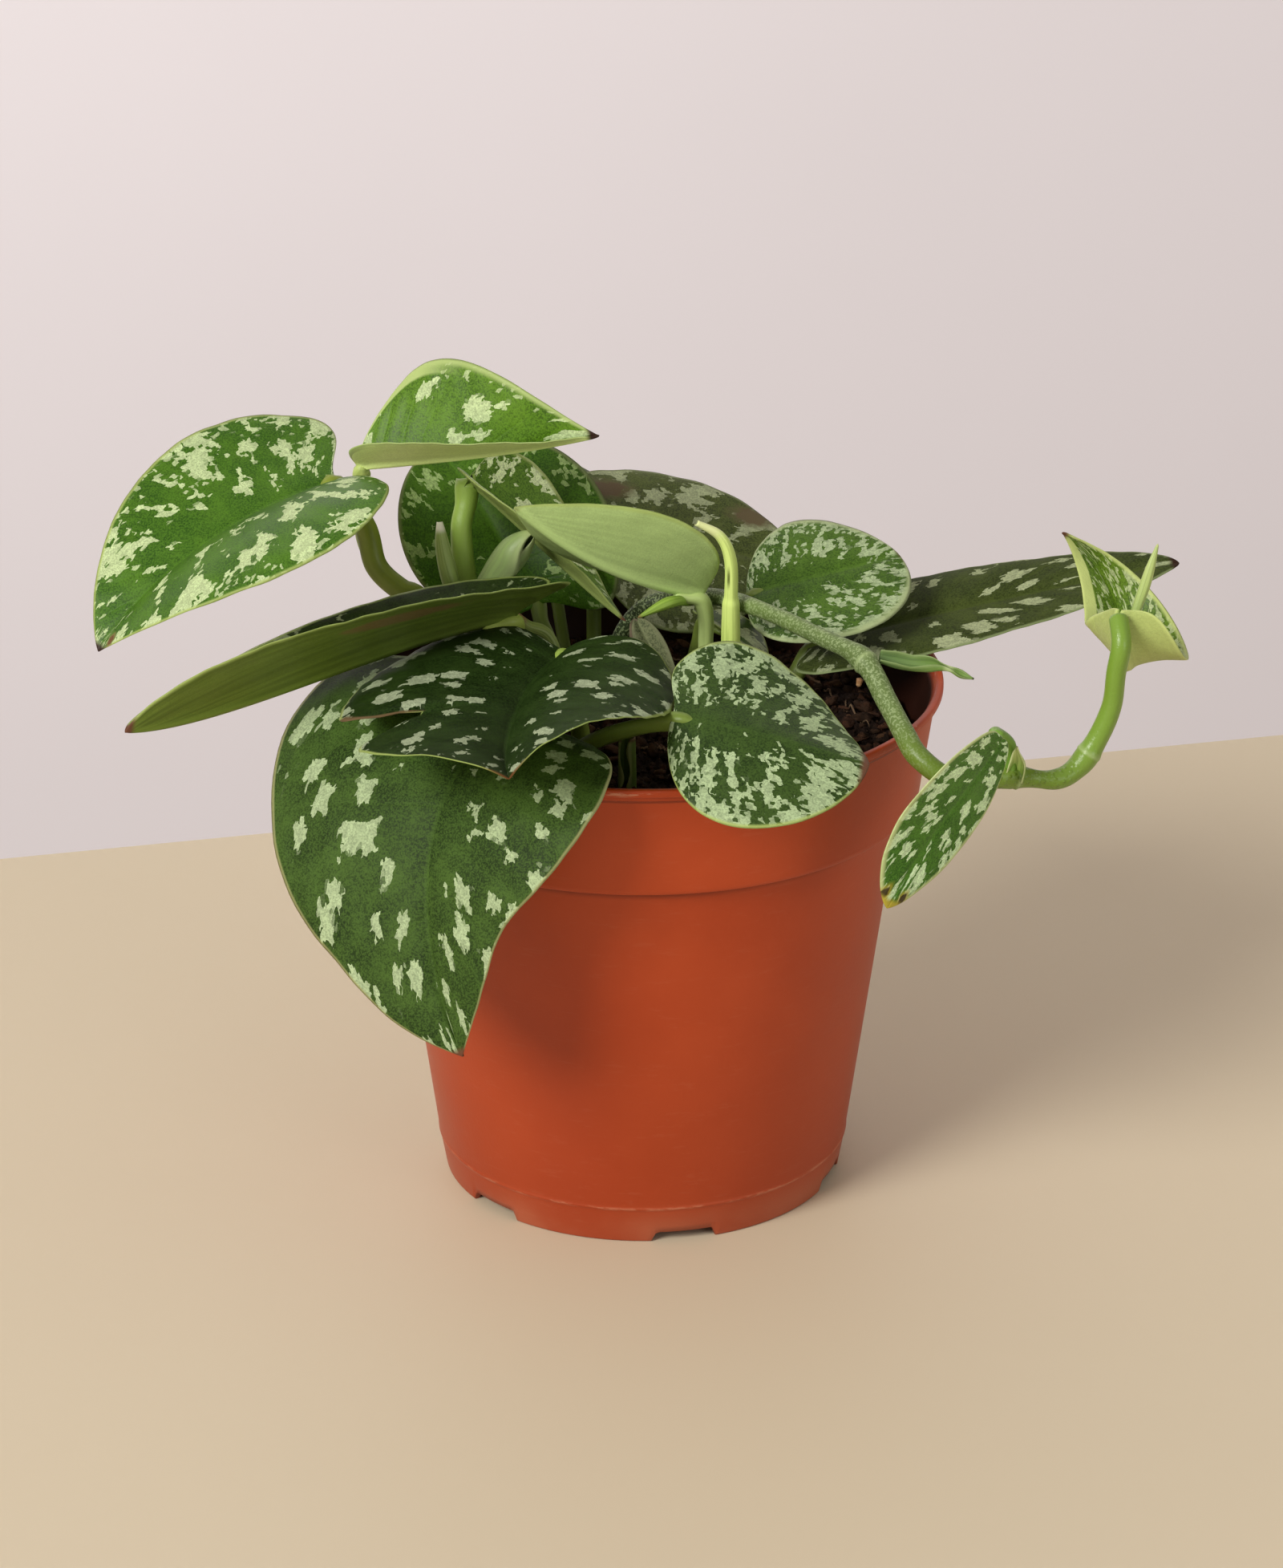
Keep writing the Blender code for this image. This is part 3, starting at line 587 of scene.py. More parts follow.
# %% [markdown]
# ## A blade with thickness, veins and life
#
# A real blade is not a flat sheet.  The midrib is sunk into its upper side and stands out of its lower
# side, the blade swells a little between the side veins, and the margin is thin and gently wavy.  The
# blade is a ring sheet: each row runs out over the upper side to the margin, and back under the lower
# side.  Its thickness and its relief are added along the surface's own normal, which is the cross product
# of the two directions of the sheet.
#
# The piece keeps two records for its finish.  Its UV map holds the place along the midrib and the signed
# distance from it, both as shares of ten centimetres.  Its point values say which side vein a point is on
# (row), the share of the way out to the margin (rise), the distance out along the vein in millimetres
# (reach), which half it is in (left) and which side of the blade it is on (upper).  So the markings can
# follow the side veins at their real size.

# %% Grow a blade
FACE_DOWN = ("hanging_right",)
BLADE = 0.62
UV_SPAN = 100.0
VEIN_SPACING = 5.2
RELIEF = namedtuple("Relief", "ripple ripple_size quilt groove")(0.55, 26.0, 0.13, 0.3)


def both_faces(first, second):
    """Columns that run over the first face and back under the second, which share both edges."""
    return np.concatenate([first, second[:, -2:0:-1]], axis=1)


def blade_sheet(leaf, rows, columns, ripple, seed, shape_more):
    """Closed sheet of a blade in millimetres, with its UV map and its point values.

    The upper side faces along the normal, except on a blade that hangs face down.
    """
    step = np.linspace(0, 1, rows)
    u = 0.55 * step + 0.45 * (0.5 - 0.5 * np.cos(np.pi * step))
    share = np.linspace(1, -1, columns + 1)
    v = 0.72 * share + 0.28 * np.sin(np.pi / 2 * share)
    u, v = np.meshgrid(u, v, indexing="ij")
    points, across, along = blade_points(leaf, u, v)
    normal = np.cross(np.gradient(points, axis=0), -np.gradient(points, axis=1))
    normal /= np.linalg.norm(normal, axis=-1, keepdims=True) + 1e-9
    normal[0] = normal[1]
    normal[-1] = normal[-2]
    if leaf.name in FACE_DOWN:
        normal = -normal

    rise = np.abs(v)
    lively = np.sin(np.pi * np.clip(u, 0, 1)) ** 0.5
    flat_place = np.stack([along, np.sign(v) * across], -1)
    ripple_size = RELIEF.ripple_size
    middle_shift = ripple * rise ** 2 * lively * waves(flat_place, (ripple_size, ripple_size / 2.1), seed)
    row_phase = leaf.length * u / VEIN_SPACING + 0.35 * np.sin(7 * u + seed)
    swelling = np.sin(np.pi * row_phase) ** 2 * np.sin(np.pi * np.clip(rise, 0, 1)) ** 0.7
    quilt = RELIEF.quilt * min(1, leaf.length / 60) * swelling
    groove = np.exp(-(across / 0.9) ** 2) * (1 - 0.6 * u)
    edge = np.sqrt(np.clip(1 - rise ** 7, 0, 1)) * np.sqrt(np.clip(1 - (2 * u - 1) ** 14, 0, 1))
    if shape_more is not None:
        middle_shift = middle_shift + shape_more(u, v)
    middle = points + middle_shift[..., None] * normal
    top = middle + (edge * (BLADE / 2 + quilt - RELIEF.groove * groove))[..., None] * normal
    ridge = 0.8 * np.exp(-(across / 1.1) ** 2) * (1 - 0.75 * u)
    under = middle - (edge * (BLADE / 2 - 0.2 * quilt + ridge))[..., None] * normal

    sheet = both_faces(top, under)
    signed = np.stack([along, np.sign(v) * across], -1) / UV_SPAN + 0.5
    uv = np.concatenate([signed, signed[:, -2::-1]], axis=1)
    reach = np.hypot(along - leaf.length * u ** VEIN_SWEEP, across)
    values = {label: both_faces(table, table)
              for label, table in (("row", u), ("rise", rise), ("reach", reach), ("left", v >= 0))}
    values["upper"] = both_faces(np.ones_like(v), np.zeros_like(v))
    return sheet, uv, values


# %% [markdown]
# ## Silver blotches
#
# The silver of a satin pothos is air under the skin.  It comes in small cells, so a blotch has a jagged
# edge, is longer along the side veins than across them, and keeps clear of the midrib.  The pattern is
# made the same way: the blade is divided into small uneven cells, stretched along the veins, and a slow
# noise, read once for each cell, decides which cells are silver.  On some leaves the silver stands in
# islands, so there a coarse division of the blade gives each island its middle and its size.  Near the
# margin a fine silver dust is added.  The effect is a node group, because every leaf uses it with its own
# amount and size.

# %% Node group: silver blotches
CELL = (0.62, 0.85)         # size of a silver cell across and along the side veins, in millimetres


def build_blotches():
    """Silver where slow noise, sampled at the middle of each small cell, is over a limit."""
    tree, given, give = new_group("silver_blotches", {
        "Vein": 0.0, "Reach": 0.0, "Rise": 0.0, "Row": 0.0, "Seed": 0.0, "Amount": 0.5, "Size": 4.0,
        "Long": 1.7, "Dust": 0.3, "Clear": 0.12, "Islands": 0.0, "Spacing": 9.0}, "Mask", "Cells")
    place = make("CombineXYZ", given["Vein"], given["Reach"], given["Seed"])[0]
    wobble = add(tree, "TexNoise", {"Vector": place, "Scale": 0.55, "Detail": 2.0})["Color"]
    wobble = make("VectorMath", wobble, (0.5, 0.5, 0.5), operation="SUBTRACT")[0]
    place = make("VectorMath", place, stretch(wobble, (1.6, 1.6, 0.0)), operation="ADD")[0]
    cell = add(tree, "TexVoronoi", {"Vector": stretch(place, (1 / CELL[0], 1 / CELL[1], 1.0)), "Scale": 1.0,
                                    "Randomness": 0.85}, voronoi_dimensions="3D", distance="CHEBYCHEV")
    middle = stretch(cell["Position"], (CELL[0], CELL[1], 1.0))
    narrow = make("CombineXYZ", 1.0, 1.0 / given["Long"], 1.0)[0]
    slow = noise(stretch(middle, narrow), 1.0 / given["Size"], 1.1, Roughness=0.5)
    chance = make("SeparateColor", cell["Color"])
    level = slow + chance[0] * 0.08
    clear = fade(given["Rise"], given["Clear"], given["Clear"] + 0.22, -0.2, 0.0)
    margin_more = fade(given["Rise"], 0.7, 0.98, 0.0, 0.03)
    level = level + (clear + margin_more)
    limit = 0.76 - given["Amount"] * 0.34
    streaked = fade(level, limit, limit + 0.012)
    spacing = 1.0 / given["Spacing"]
    elsewhere = make("CombineXYZ", given["Seed"] * 7.3)[0]
    elsewhere = make("VectorMath", stretch(middle, narrow), elsewhere, operation="ADD")[0]
    island = add(tree, "TexVoronoi", {"Vector": elsewhere, "Scale": spacing, "Randomness": 0.9},
                 voronoi_dimensions="2D", distance="CHEBYCHEV")
    size = make("SeparateColor", island["Color"])[0]
    size = maths("MULTIPLY_ADD", size, 0.22, given["Amount"] * 0.36)
    uneven = (slow - 0.5) * 0.5
    near = size - island["Distance"] + (uneven + chance[0] * 0.05)
    apart = fade(near + clear, 0.0, 0.02)
    blotch = add(tree, "Mix", {0: given["Islands"], 2: streaked, 3: apart})[0]
    near_margin = fade(given["Rise"], 0.66, 1.0)
    near_tip = fade(given["Row"], 0.8, 1.0)
    nearness = maths("MAXIMUM", near_margin, near_tip * 0.8)
    dust_limit = 1.0 - nearness * (given["Dust"] * 0.6)
    dust = fade(chance[1], dust_limit, dust_limit + 0.02, 0.0, 0.75)
    give("Mask", maths("MAXIMUM", blotch, dust))
    give("Cells", chance[2])
    return tree


# %% Node groups: side veins, skin grain and spots
def build_veins():
    """Thin lines that follow the rows of the blade, and soft streaks along and across them."""
    tree, given, give = new_group("side_veins", {"Row": 0.0, "Rise": 0.0, "Count": 9.0, "Seed": 0.0},
                                  "Line", "Streak", "Lengthwise")
    place = make("CombineXYZ", given["Row"] * given["Count"], given["Rise"], given["Seed"])[0]
    bend = noise(place, 1.1, 1.0)
    phase = given["Row"] * given["Count"] + bend
    saw = abs(maths("FRACT", phase) - 0.5)
    line = fade(saw, 0.0, 0.11, 1.0, 0.0)
    fading = fade(given["Rise"], 0.55, 1.0, 1.0, 0.15)
    give("Line", line * fading)
    give("Streak", noise(stretch(place, (7.0, 1.1, 1.0)), 1.0, 3.0))
    give("Lengthwise", noise(stretch(place, (0.16, 9.0, 1.0)), 1.0, 3.0))
    return tree


def build_grain():
    """Fine uneven grain on object coordinates, with the size of a grain in millimetres."""
    tree, given, give = new_group("skin_grain", {"Size": 0.4, "Seed": 0.0}, "Fine", "Broad")
    place = object_place(tree)
    scale = 1 / MM / given["Size"]
    for label, size, detail in (("Fine", scale, 2.0), ("Broad", scale * 0.05, 3.0)):
        inputs = {"Vector": place, "W": given["Seed"], "Scale": size, "Detail": detail}
        give(label, add(tree, "TexNoise", inputs, noise_dimensions="4D")["Fac"])
    return tree


def build_spot():
    """A round spot with a ragged edge, at a place on the blade: a core, and a wider halo round it."""
    tree, given, give = new_group("ragged_spot", {
        "Along": 0.0, "Across": 0.0, "Middle_along": 0.0, "Middle_across": 0.0,
        "Radius": 1.0, "Stretch": 1.0}, "Core", "Halo")
    dx = given["Along"] - given["Middle_along"]
    dy = given["Across"] - given["Middle_across"]
    place = make("CombineXYZ", dx / given["Stretch"], dy)[0]
    far = make("VectorMath", place, operation="LENGTH")["Value"]
    ragged = noise(place, 0.9, 3.0)
    far = far / given["Radius"] + ragged
    give("Core", fade(far, 1.15, 1.5, 1.0, 0.0))
    give("Halo", fade(far, 1.3, 2.2, 1.0, 0.0))
    return tree


blotches_group = build_blotches()
veins_group = build_veins()
grain_group = build_grain()
spot_group = build_spot()
print("node groups:", [group.name for group in bpy.data.node_groups])

# %% [markdown]
# ## The finish of a leaf
#
# One function mixes the layers of a leaf in the order in which they lie: green with a slow change of
# tone, side veins, silver, midrib, the pale margin, brown spots with a yellow halo, and the dry tip.  The
# lower side is paler, with long soft streaks and no silver.  Each leaf then gets a line of values, because
# on the real plant young leaves are bright and old ones are dark and grey.

# %% Leaf finish
Finish = namedtuple("Finish", "green bright silver amount size long dust under rim rim_width tip tip_length "
                              "seed gloss spots clear islands spacing lip shine streak")
Lip = namedtuple("Lip", "side start end width colour")     # a band of another colour along one margin
BLACK_TIP = (0.03, 0.014, 0.008)
BROWN_TIP = (0.13, 0.055, 0.03)


def rgba(colour, scale=1.0):
    """An opaque colour, made lighter or darker by the scale."""
    return tuple(scale * value for value in colour) + (1,)


def leaf_material(leaf, finish):
    """The layered material of one leaf."""
    material, tree = new_material("leaf_" + leaf.name, finish.gloss, IOR=1.42,
                                  Specular_IOR_Level=finish.shine)
    uv = surface_place(tree)
    apart = make("SeparateXYZ", uv)
    along = (apart[0] - 0.5) * UV_SPAN
    across = (apart[1] - 0.5) * UV_SPAN
    row, rise, reach, left, upper = [
        point_value(tree, label) for label in ("row", "rise", "reach", "left", "upper")]
    half_seed = fade(left, 0.4, 0.6) * 37.0 + 10.0 * finish.seed
    grain = place_group(tree, grain_group, Size=0.3, Seed=float(finish.seed))
    veins = place_group(tree, veins_group, Row=row, Rise=rise, Count=leaf.length / VEIN_SPACING,
                        Seed=float(finish.seed))
    blotches = place_group(
        tree, blotches_group, Vein=row * (1.15 * leaf.length), Reach=reach, Rise=rise, Row=row,
        Seed=half_seed, Amount=finish.amount, Size=finish.size, Long=finish.long, Dust=finish.dust,
        Clear=finish.clear, Islands=finish.islands, Spacing=finish.spacing)

    top = blend(fade(grain["Broad"], 0.35, 0.68), rgba(finish.green), rgba(finish.bright))
    top = blend(veins["Line"] * 0.18, top, rgba(finish.bright, 1.3))
    top = blend(fade(veins["Streak"], 0.3, 0.75, 0.0, 0.25), top, rgba(finish.green, 0.5))
    top = blend(fade(grain["Fine"], 0.42, 0.6, 0.0, 0.5), top, rgba(finish.bright, 1.45))
    top = blend(fade(grain["Fine"], 0.3, 0.44, 0.5, 0.0), top, rgba(finish.green, 0.45))
    silver = blend(blotches["Cells"], rgba(finish.silver, 0.84), rgba(finish.silver, 1.12))
    silver = blend(fade(grain["Fine"], 0.4, 0.56, 0.6, 0.0), silver, rgba(finish.silver, 0.5))
    top = blend(blotches["Mask"] * 0.92, top, silver)
    top = blend(fade(abs(across), 0.2, 0.6, 0.28, 0.0), top, rgba(finish.bright, 1.5))

    under = blend(fade(veins["Lengthwise"], 0.35, 0.7), rgba(finish.under, 1 - finish.streak),
                  rgba(finish.under, 1 + 0.5 * finish.streak))
    under = blend(fade(grain["Fine"], 0.4, 0.62, 0.0, 0.3), under, rgba(finish.under, 0.7))
    under = blend(fade(abs(across), 0.5, 1.5, 0.5, 0.0), under, rgba(finish.under, 1.25))
    colour = blend(upper, under, top)
    rim_share = finish.rim_width / max(leaf.half)
    rim = fade(rise, 1 - rim_share, 1 - 0.3 * rim_share, 0.0, 0.85)
    colour = blend(rim, colour, rgba(finish.rim))
    for lip in finish.lip:
        half = leaf.half[0] if lip.side > 0 else leaf.half[1]
        inner = 1 - lip.width / half
        on_side = fade(left, 0.4, 0.6, *((0.0, 1.0) if lip.side > 0 else (1.0, 0.0)))
        band = fade(rise, inner - 0.02, inner + 0.02) * on_side
        soft = 0.15 * (lip.end - lip.start)
        band = band * (fade(row, lip.start, lip.start + soft) * fade(row, lip.end - soft, lip.end, 1.0, 0.0))
        colour = blend(band, colour, rgba(lip.colour))
    for spot_along, spot_across, radius, longer, core_colour, halo_colour in finish.spots:
        spot = place_group(tree, spot_group, Along=along, Across=across, Middle_along=spot_along,
                           Middle_across=spot_across, Radius=radius, Stretch=longer)
        colour = blend(spot["Halo"] * 0.7, colour, rgba(halo_colour))
        colour = blend(spot["Core"] * 0.92, colour, rgba(core_colour))
    tip_start = leaf.length - finish.tip_length
    colour = blend(fade(along, tip_start - 0.8, tip_start + 0.5), colour, rgba(finish.tip))

    rough = fade(blotches["Mask"], 0.0, 1.0, finish.gloss, finish.gloss + 0.12)
    rough = rough + fade(grain["Fine"], 0.3, 0.7, -0.04, 0.04)
    height = grain["Fine"] * 0.35 + blotches["Mask"] * 0.3
    height = height - veins["Line"] * maths("MULTIPLY_ADD", upper, 0.2, 0.1)
    return finish_with(material, colour, rough, height, distance=0.00012, strength=0.8)


# %% Values for each leaf
YOUNG = dict(green=(0.03, 0.09, 0.006), bright=(0.062, 0.15, 0.011), silver=(0.54, 0.66, 0.34))
MIDDLE = dict(green=(0.024, 0.055, 0.006), bright=(0.046, 0.09, 0.011), silver=(0.39, 0.46, 0.23))
OLD = dict(green=(0.011, 0.023, 0.004), bright=(0.024, 0.044, 0.008), silver=(0.31, 0.37, 0.2))
GREY = dict(green=(0.026, 0.038, 0.008), bright=(0.048, 0.066, 0.014), silver=(0.36, 0.41, 0.23))
PALE_UNDER = (0.3, 0.39, 0.11)
OLIVE_UNDER = (0.14, 0.205, 0.03)
PALE_RIM = (0.34, 0.43, 0.12)
GREEN_RIM = (0.38, 0.48, 0.17)
LIME_RIM = (0.48, 0.56, 0.19)
DULL_RIM = (0.16, 0.2, 0.07)
TAN_RIM = (0.4, 0.42, 0.18)
RUST = (0.12, 0.045, 0.014)
YELLOW = (0.42, 0.35, 0.04)
TAN = (0.22, 0.15, 0.06)
TEAR_ROW = MARGIN_CUTS["torn_front"][0].row


def finish(palette, seed, **changes):
    """The values of one leaf: a palette, a seed and what differs from the usual."""
    usual = dict(amount=0.5, size=4.0, long=1.7, dust=0.3, under=PALE_UNDER, rim=PALE_RIM, rim_width=1.1,
                 tip=BROWN_TIP, tip_length=1.2, gloss=0.42, spots=(), clear=0.1, islands=0.0, spacing=9.0,
                 lip=(), shine=0.22, streak=0.12)
    return Finish(seed=seed, **{**usual, **palette, **changes})


FINISHES = {
    "far_left": finish(YOUNG, 3, amount=0.47, size=2.9, long=2.4, dust=0.25, tip=BLACK_TIP, clear=0.06,
                       spots=((37, 22, 1.5, 1.0, RUST, TAN), (51, 2.5, 0.7, 1.6, RUST, TAN))),
    "top": finish(YOUNG, 5, amount=0.24, size=3.0, long=1.2, dust=0.15, tip=BLACK_TIP, tip_length=1.8,
                  islands=1.0, spacing=7.5, under=(0.74, 0.9, 0.33), rim=GREEN_RIM, rim_width=1.6,
                  green=(0.05, 0.12, 0.006), bright=(0.09, 0.19, 0.012), streak=0.04,
                  lip=(Lip(1, -0.8, 0.5, 2.6, GREEN_RIM), Lip(-1, -0.8, 0.3, 2.0, GREEN_RIM))),
    "long_left": finish(OLD, 8, amount=0.16, size=3.5, dust=0.05, streak=0.3, under=OLIVE_UNDER,
                        rim_width=1.4, spots=((24, 14, 3.0, 4.5, (0.2, 0.14, 0.05), OLIVE_UNDER),)),
    "draped": finish(OLD, 11, amount=0.22, size=2.4, long=1.2, dust=0.03, rim=TAN_RIM,
                     gloss=0.52, shine=0.1, clear=0.14, islands=1.0, spacing=5.6,
                     green=(0.02, 0.04, 0.008), bright=(0.05, 0.096, 0.017), silver=(0.4, 0.5, 0.28)),
    "torn_front": finish(OLD, 14, amount=0.22, size=2.4, dust=0.1, tip=RUST, tip_length=0.4,
                         gloss=0.48, rim_width=0.9, shine=0.07, green=(0.008, 0.019, 0.003),
                         bright=(0.021, 0.043, 0.008), islands=1.0, silver=(0.39, 0.46, 0.29), spacing=5.2,
                         lip=(Lip(-1, TEAR_ROW - 0.05, TEAR_ROW, 1.6, (0.13, 0.085, 0.04)),)),
    "round_front": finish(MIDDLE, 17, amount=0.6, size=1.9, long=3.2, dust=0.6,
                          green=(0.017, 0.038, 0.006), bright=(0.037, 0.072, 0.012),
                          silver=(0.39, 0.5, 0.27)),
    "centre": finish(MIDDLE, 20, under=(0.42, 0.56, 0.2), streak=0.1, tip=(0.3, 0.36, 0.12),
                     tip_length=0.8),
    "folded": finish(MIDDLE, 23, amount=0.5, size=3.0, dust=0.4, silver=(0.84, 0.98, 0.55), rim_width=1.5,
                     green=(0.075, 0.165, 0.014), bright=(0.13, 0.25, 0.026)),
    "dark_back": finish(OLD, 26, amount=0.34, size=3.0, dust=0.1, rim=DULL_RIM, silver=(0.35, 0.5, 0.18),
                        green=(0.032, 0.09, 0.005), bright=(0.058, 0.14, 0.008)),
    "brown_back": finish(GREY, 29, amount=0.5, size=3.2, long=2.6, dust=0.15, rim=DULL_RIM,
                         green=(0.04, 0.056, 0.012), bright=(0.075, 0.098, 0.022),
                         spots=((4, 13, 2.4, 1.6, (0.09, 0.06, 0.026), (0.1, 0.085, 0.032)),
                                (29, 10.5, 2.4, 1.5, (0.105, 0.078, 0.036), (0.1, 0.088, 0.036)))),
    "far_back": finish(GREY, 32, amount=0.1, dust=0.1, rim=DULL_RIM),
    "right_heart": finish(MIDDLE, 35, amount=0.54, size=1.5, long=3.2, dust=0.7, rim_width=2.2,
                          tip_length=0.0, green=(0.03, 0.072, 0.006), bright=(0.06, 0.125, 0.012),
                          silver=(0.39, 0.49, 0.27), rim=(0.34, 0.41, 0.2)),
    "long_right": finish(GREY, 38, amount=0.26, size=2.6, long=1.5, dust=0.05, tip=BLACK_TIP,
                         tip_length=1.4, islands=1.0, spacing=5.8, clear=0.05, rim=(0.2, 0.25, 0.11),
                         shine=0.06, gloss=0.6, spots=((14, 12, 1.4, 1.2, RUST, TAN),)),
    "rolled_right": finish(YOUNG, 41, amount=0.5, size=1.5, long=1.0, streak=0.04, dust=0.3,
                           under=(0.42, 0.5, 0.16), green=(0.05, 0.1, 0.008),
                           bright=(0.095, 0.17, 0.014), silver=(0.42, 0.5, 0.24), rim=LIME_RIM,
                           lip=(Lip(1, 0.42, 1.2, 2.6, LIME_RIM),),
                           spots=((30, -3, 1.8, 1.0, (0.34, 0.38, 0.04), (0.2, 0.27, 0.03)),)),
    "hanging_right": finish(YOUNG, 44, amount=0.42, size=1.6, long=1.3, dust=0.3, silver=(0.66, 0.88, 0.52),
                            islands=1.0, spacing=3.4, tip=YELLOW, tip_length=1.5,
                            green=(0.034, 0.112, 0.01), bright=(0.064, 0.175, 0.018), rim_width=1.3,
                            rim=(0.5, 0.58, 0.26),
                            spots=((33.0, 2.4, 0.9, 2.0, BLACK_TIP, YELLOW),
                                   (32.5, -2.0, 0.8, 2.0, BLACK_TIP, YELLOW))),
    "low_centre": finish(MIDDLE, 47, amount=0.45, size=3.4, dust=0.2),
    "dry_strip": finish(GREY, 50, amount=0.0, dust=0.3, green=(0.1, 0.12, 0.055),
                        bright=(0.18, 0.2, 0.1), under=(0.1, 0.12, 0.06), rim=(0.18, 0.19, 0.1),
                        gloss=0.7),
    "dry_curled": finish(GREY, 53, amount=0.0, dust=0.1, green=(0.07, 0.03, 0.015),
                         bright=(0.16, 0.08, 0.035), under=(0.18, 0.11, 0.05), rim=RUST, gloss=0.7),
}

# %% [markdown]
# ## Leaves
#
# Each leaf is one piece, and stands for the solid blade of the same name.  The largest blades get the
# finest sheets.  After each one, the script prints how far the fine blade's box is from the solid's, which
# shows that the two lie in the same place.

# %% Build the leaves
DRY = ("dry_strip", "dry_curled")
LARGE_LENGTH = 30           # a blade longer than this, in millimetres, gets the large sheet
LARGE_SHEET = (104, 56)     # rows and columns
SMALL_SHEET = (64, 36)
TORN_ROWS = 260             # close rows keep the tear narrow


def tear(u, v):
    """The old leaf in front is torn at its right half: the flap nearer the tip hangs lower."""
    outward = np.clip((-v - 0.4) / 0.6, 0, 1)
    beyond = 0.5 + 0.5 * np.tanh((u - TEAR_ROW) / 0.014)
    near = np.exp(-((u - TEAR_ROW) / 0.2) ** 2)
    return outward * near * (0.7 - 3.4 * beyond)


def crease(u, v):
    """The hanging tip of the leaf over the rim is pulled in along its midrib."""
    return -0.9 * np.exp(-(v / 0.22) ** 2) * np.clip(u - 0.45, 0, 1)


SHAPE_MORE = {"torn_front": tear, "draped": crease}


def build_leaf(leaf):
    """One fine blade, riding where its solid lies."""
    rows, columns = LARGE_SHEET if leaf.length > LARGE_LENGTH else SMALL_SHEET
    if leaf.name == "torn_front":
        rows = TORN_ROWS
    seed = FINISHES[leaf.name].seed
    ripple = 0.9 if leaf.name in DRY else min(RELIEF.ripple, 0.012 * sum(leaf.half))
    piece = surface("blade_" + leaf.name,
                    *blade_sheet(leaf, rows, columns, ripple, seed, SHAPE_MORE.get(leaf.name)))
    settle(piece, ["leaf_" + leaf.name],
           leaf_material(leaf, FINISHES[leaf.name]))
    return piece


for leaf in LEAVES:
    piece = build_leaf(leaf)
    low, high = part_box("leaf_" + leaf.name)
    corners = np.array([vertex.co for vertex in piece.data.vertices])
    off = np.abs(np.concatenate([corners.min(0) - low, corners.max(0) - high])).max() / MM
    print("%-22s %6d faces, box within %.2f mm of the solid's" % (piece.name, len(piece.data.polygons), off))

# %% [markdown]
# ## Stalks
#
# A stalk is a fleshy tube, a little thicker where it leaves the soil and where it meets the blade, and it
# has a shallow channel on one side.  A tube is a circle carried along a path: the path's points come from
# a smooth curve through a few listed places, and the circle's two directions are kept square to it.  The
# end of a stalk bends into the midrib under its blade, so leaf and stalk are one plant.

# %% Measures of the stems
Stalk = namedtuple("Stalk", "leaf radius foot points")

STALKS = [
    Stalk("far_left", 2.1, (-23, 3), [(-32, 5.5, 98.5), (-40, 8, 106.7), (-43.6, 9, 108.3),
                                      (-48, 11, 112.1), (-50, 12, 119.4)]),
    Stalk("top", 1.5, (-23, 19), [(-32, 19.5, 95.5), (-40, 19.5, 102), (-46, 18.5, 106.5),
                                  (-50, 17.5, 113.5), (-51, 16.5, 122)]),
    Stalk("long_left", 1.4, (-20, 0), [(-21.5, 1.5, 98), (-22.5, 0, 103)]),
    Stalk("draped", 1.9, (-14, -18), [(-17, -25, 92)]),
    Stalk("torn_front", 1.7, (-11, -6), [(-12.5, -9, 96)]),
    Stalk("round_front", 1.5, (-17, -28.5), [(-15.8, -29.5, 88.3), (-12.7, -32, 92.8),
                                             (-7.8, -36, 97.5), (-1.5, -40.5, 101.5)]),
    Stalk("centre", 1.4, (11.4, 9), [(11.4, 9, 97.5), (11.4, 8.5, 103)]),
    Stalk("folded", 2.0, (-29, 12), [(-31.9, 15.5, 107), (-32.6, 16.5, 112.4),
                                     (-32.8, 18, 117.3), (-32, 20, 120.8)]),
    Stalk("dark_back", 1.4, (-15, 18), [(-17.1, 21, 93.5), (-18.6, 23.5, 96.5)]),
    Stalk("brown_back", 1.4, (-9, 30), [(-9, 34, 98)]),
    Stalk("far_back", 1.2, (-14, 31), [(-18, 47, 104)]),
    Stalk("right_heart", 1.3, (21, 27), [(21, 25.5, 97)]),
    Stalk("long_right", 1.6, (25, 14), [(28, 14, 90)]),
    Stalk("dry_strip", 0.8, (-1, 16), [(-1.5, 16, 95)]),
    Stalk("low_centre", 1.1, (8, 21), [(10, 20, 94)]),
]

RUNNER_FOOT = (-5, 21)
RUNNER_POINTS = [(-4.2, 21, 94), (0, 20, 100.5), (5.6, 18, 103.3), (14.2, 12, 105.6),
                 (22.7, 0, 107.2), (31, -11, 107.1), (38.5, -20, 106.2), (42.6, -28, 101.4),
                 (45.2, -34, 98.2), (47.9, -39, 95.3), (53.9, -41, 92.1), (63.8, -38, 91.4),
                 (71.6, -36, 90), (75.9, -34, 91.7), (79.2, -33, 96.6), (81.4, -33, 102.6),
                 (81.9, -33.8, 109), (82.6, -34, 114.5)]
RUNNER_RADIUS = 2.0
RUNNER_NODE_X = 37.0
RUNNER_THIN_RADIUS = 1.6
BRANCH_POINTS = [(63.8, -38.4, 94), (63.2, -39.4, 98), (60.7, -42.6, 101.3)]
BRANCH_RADIUS = 1.2

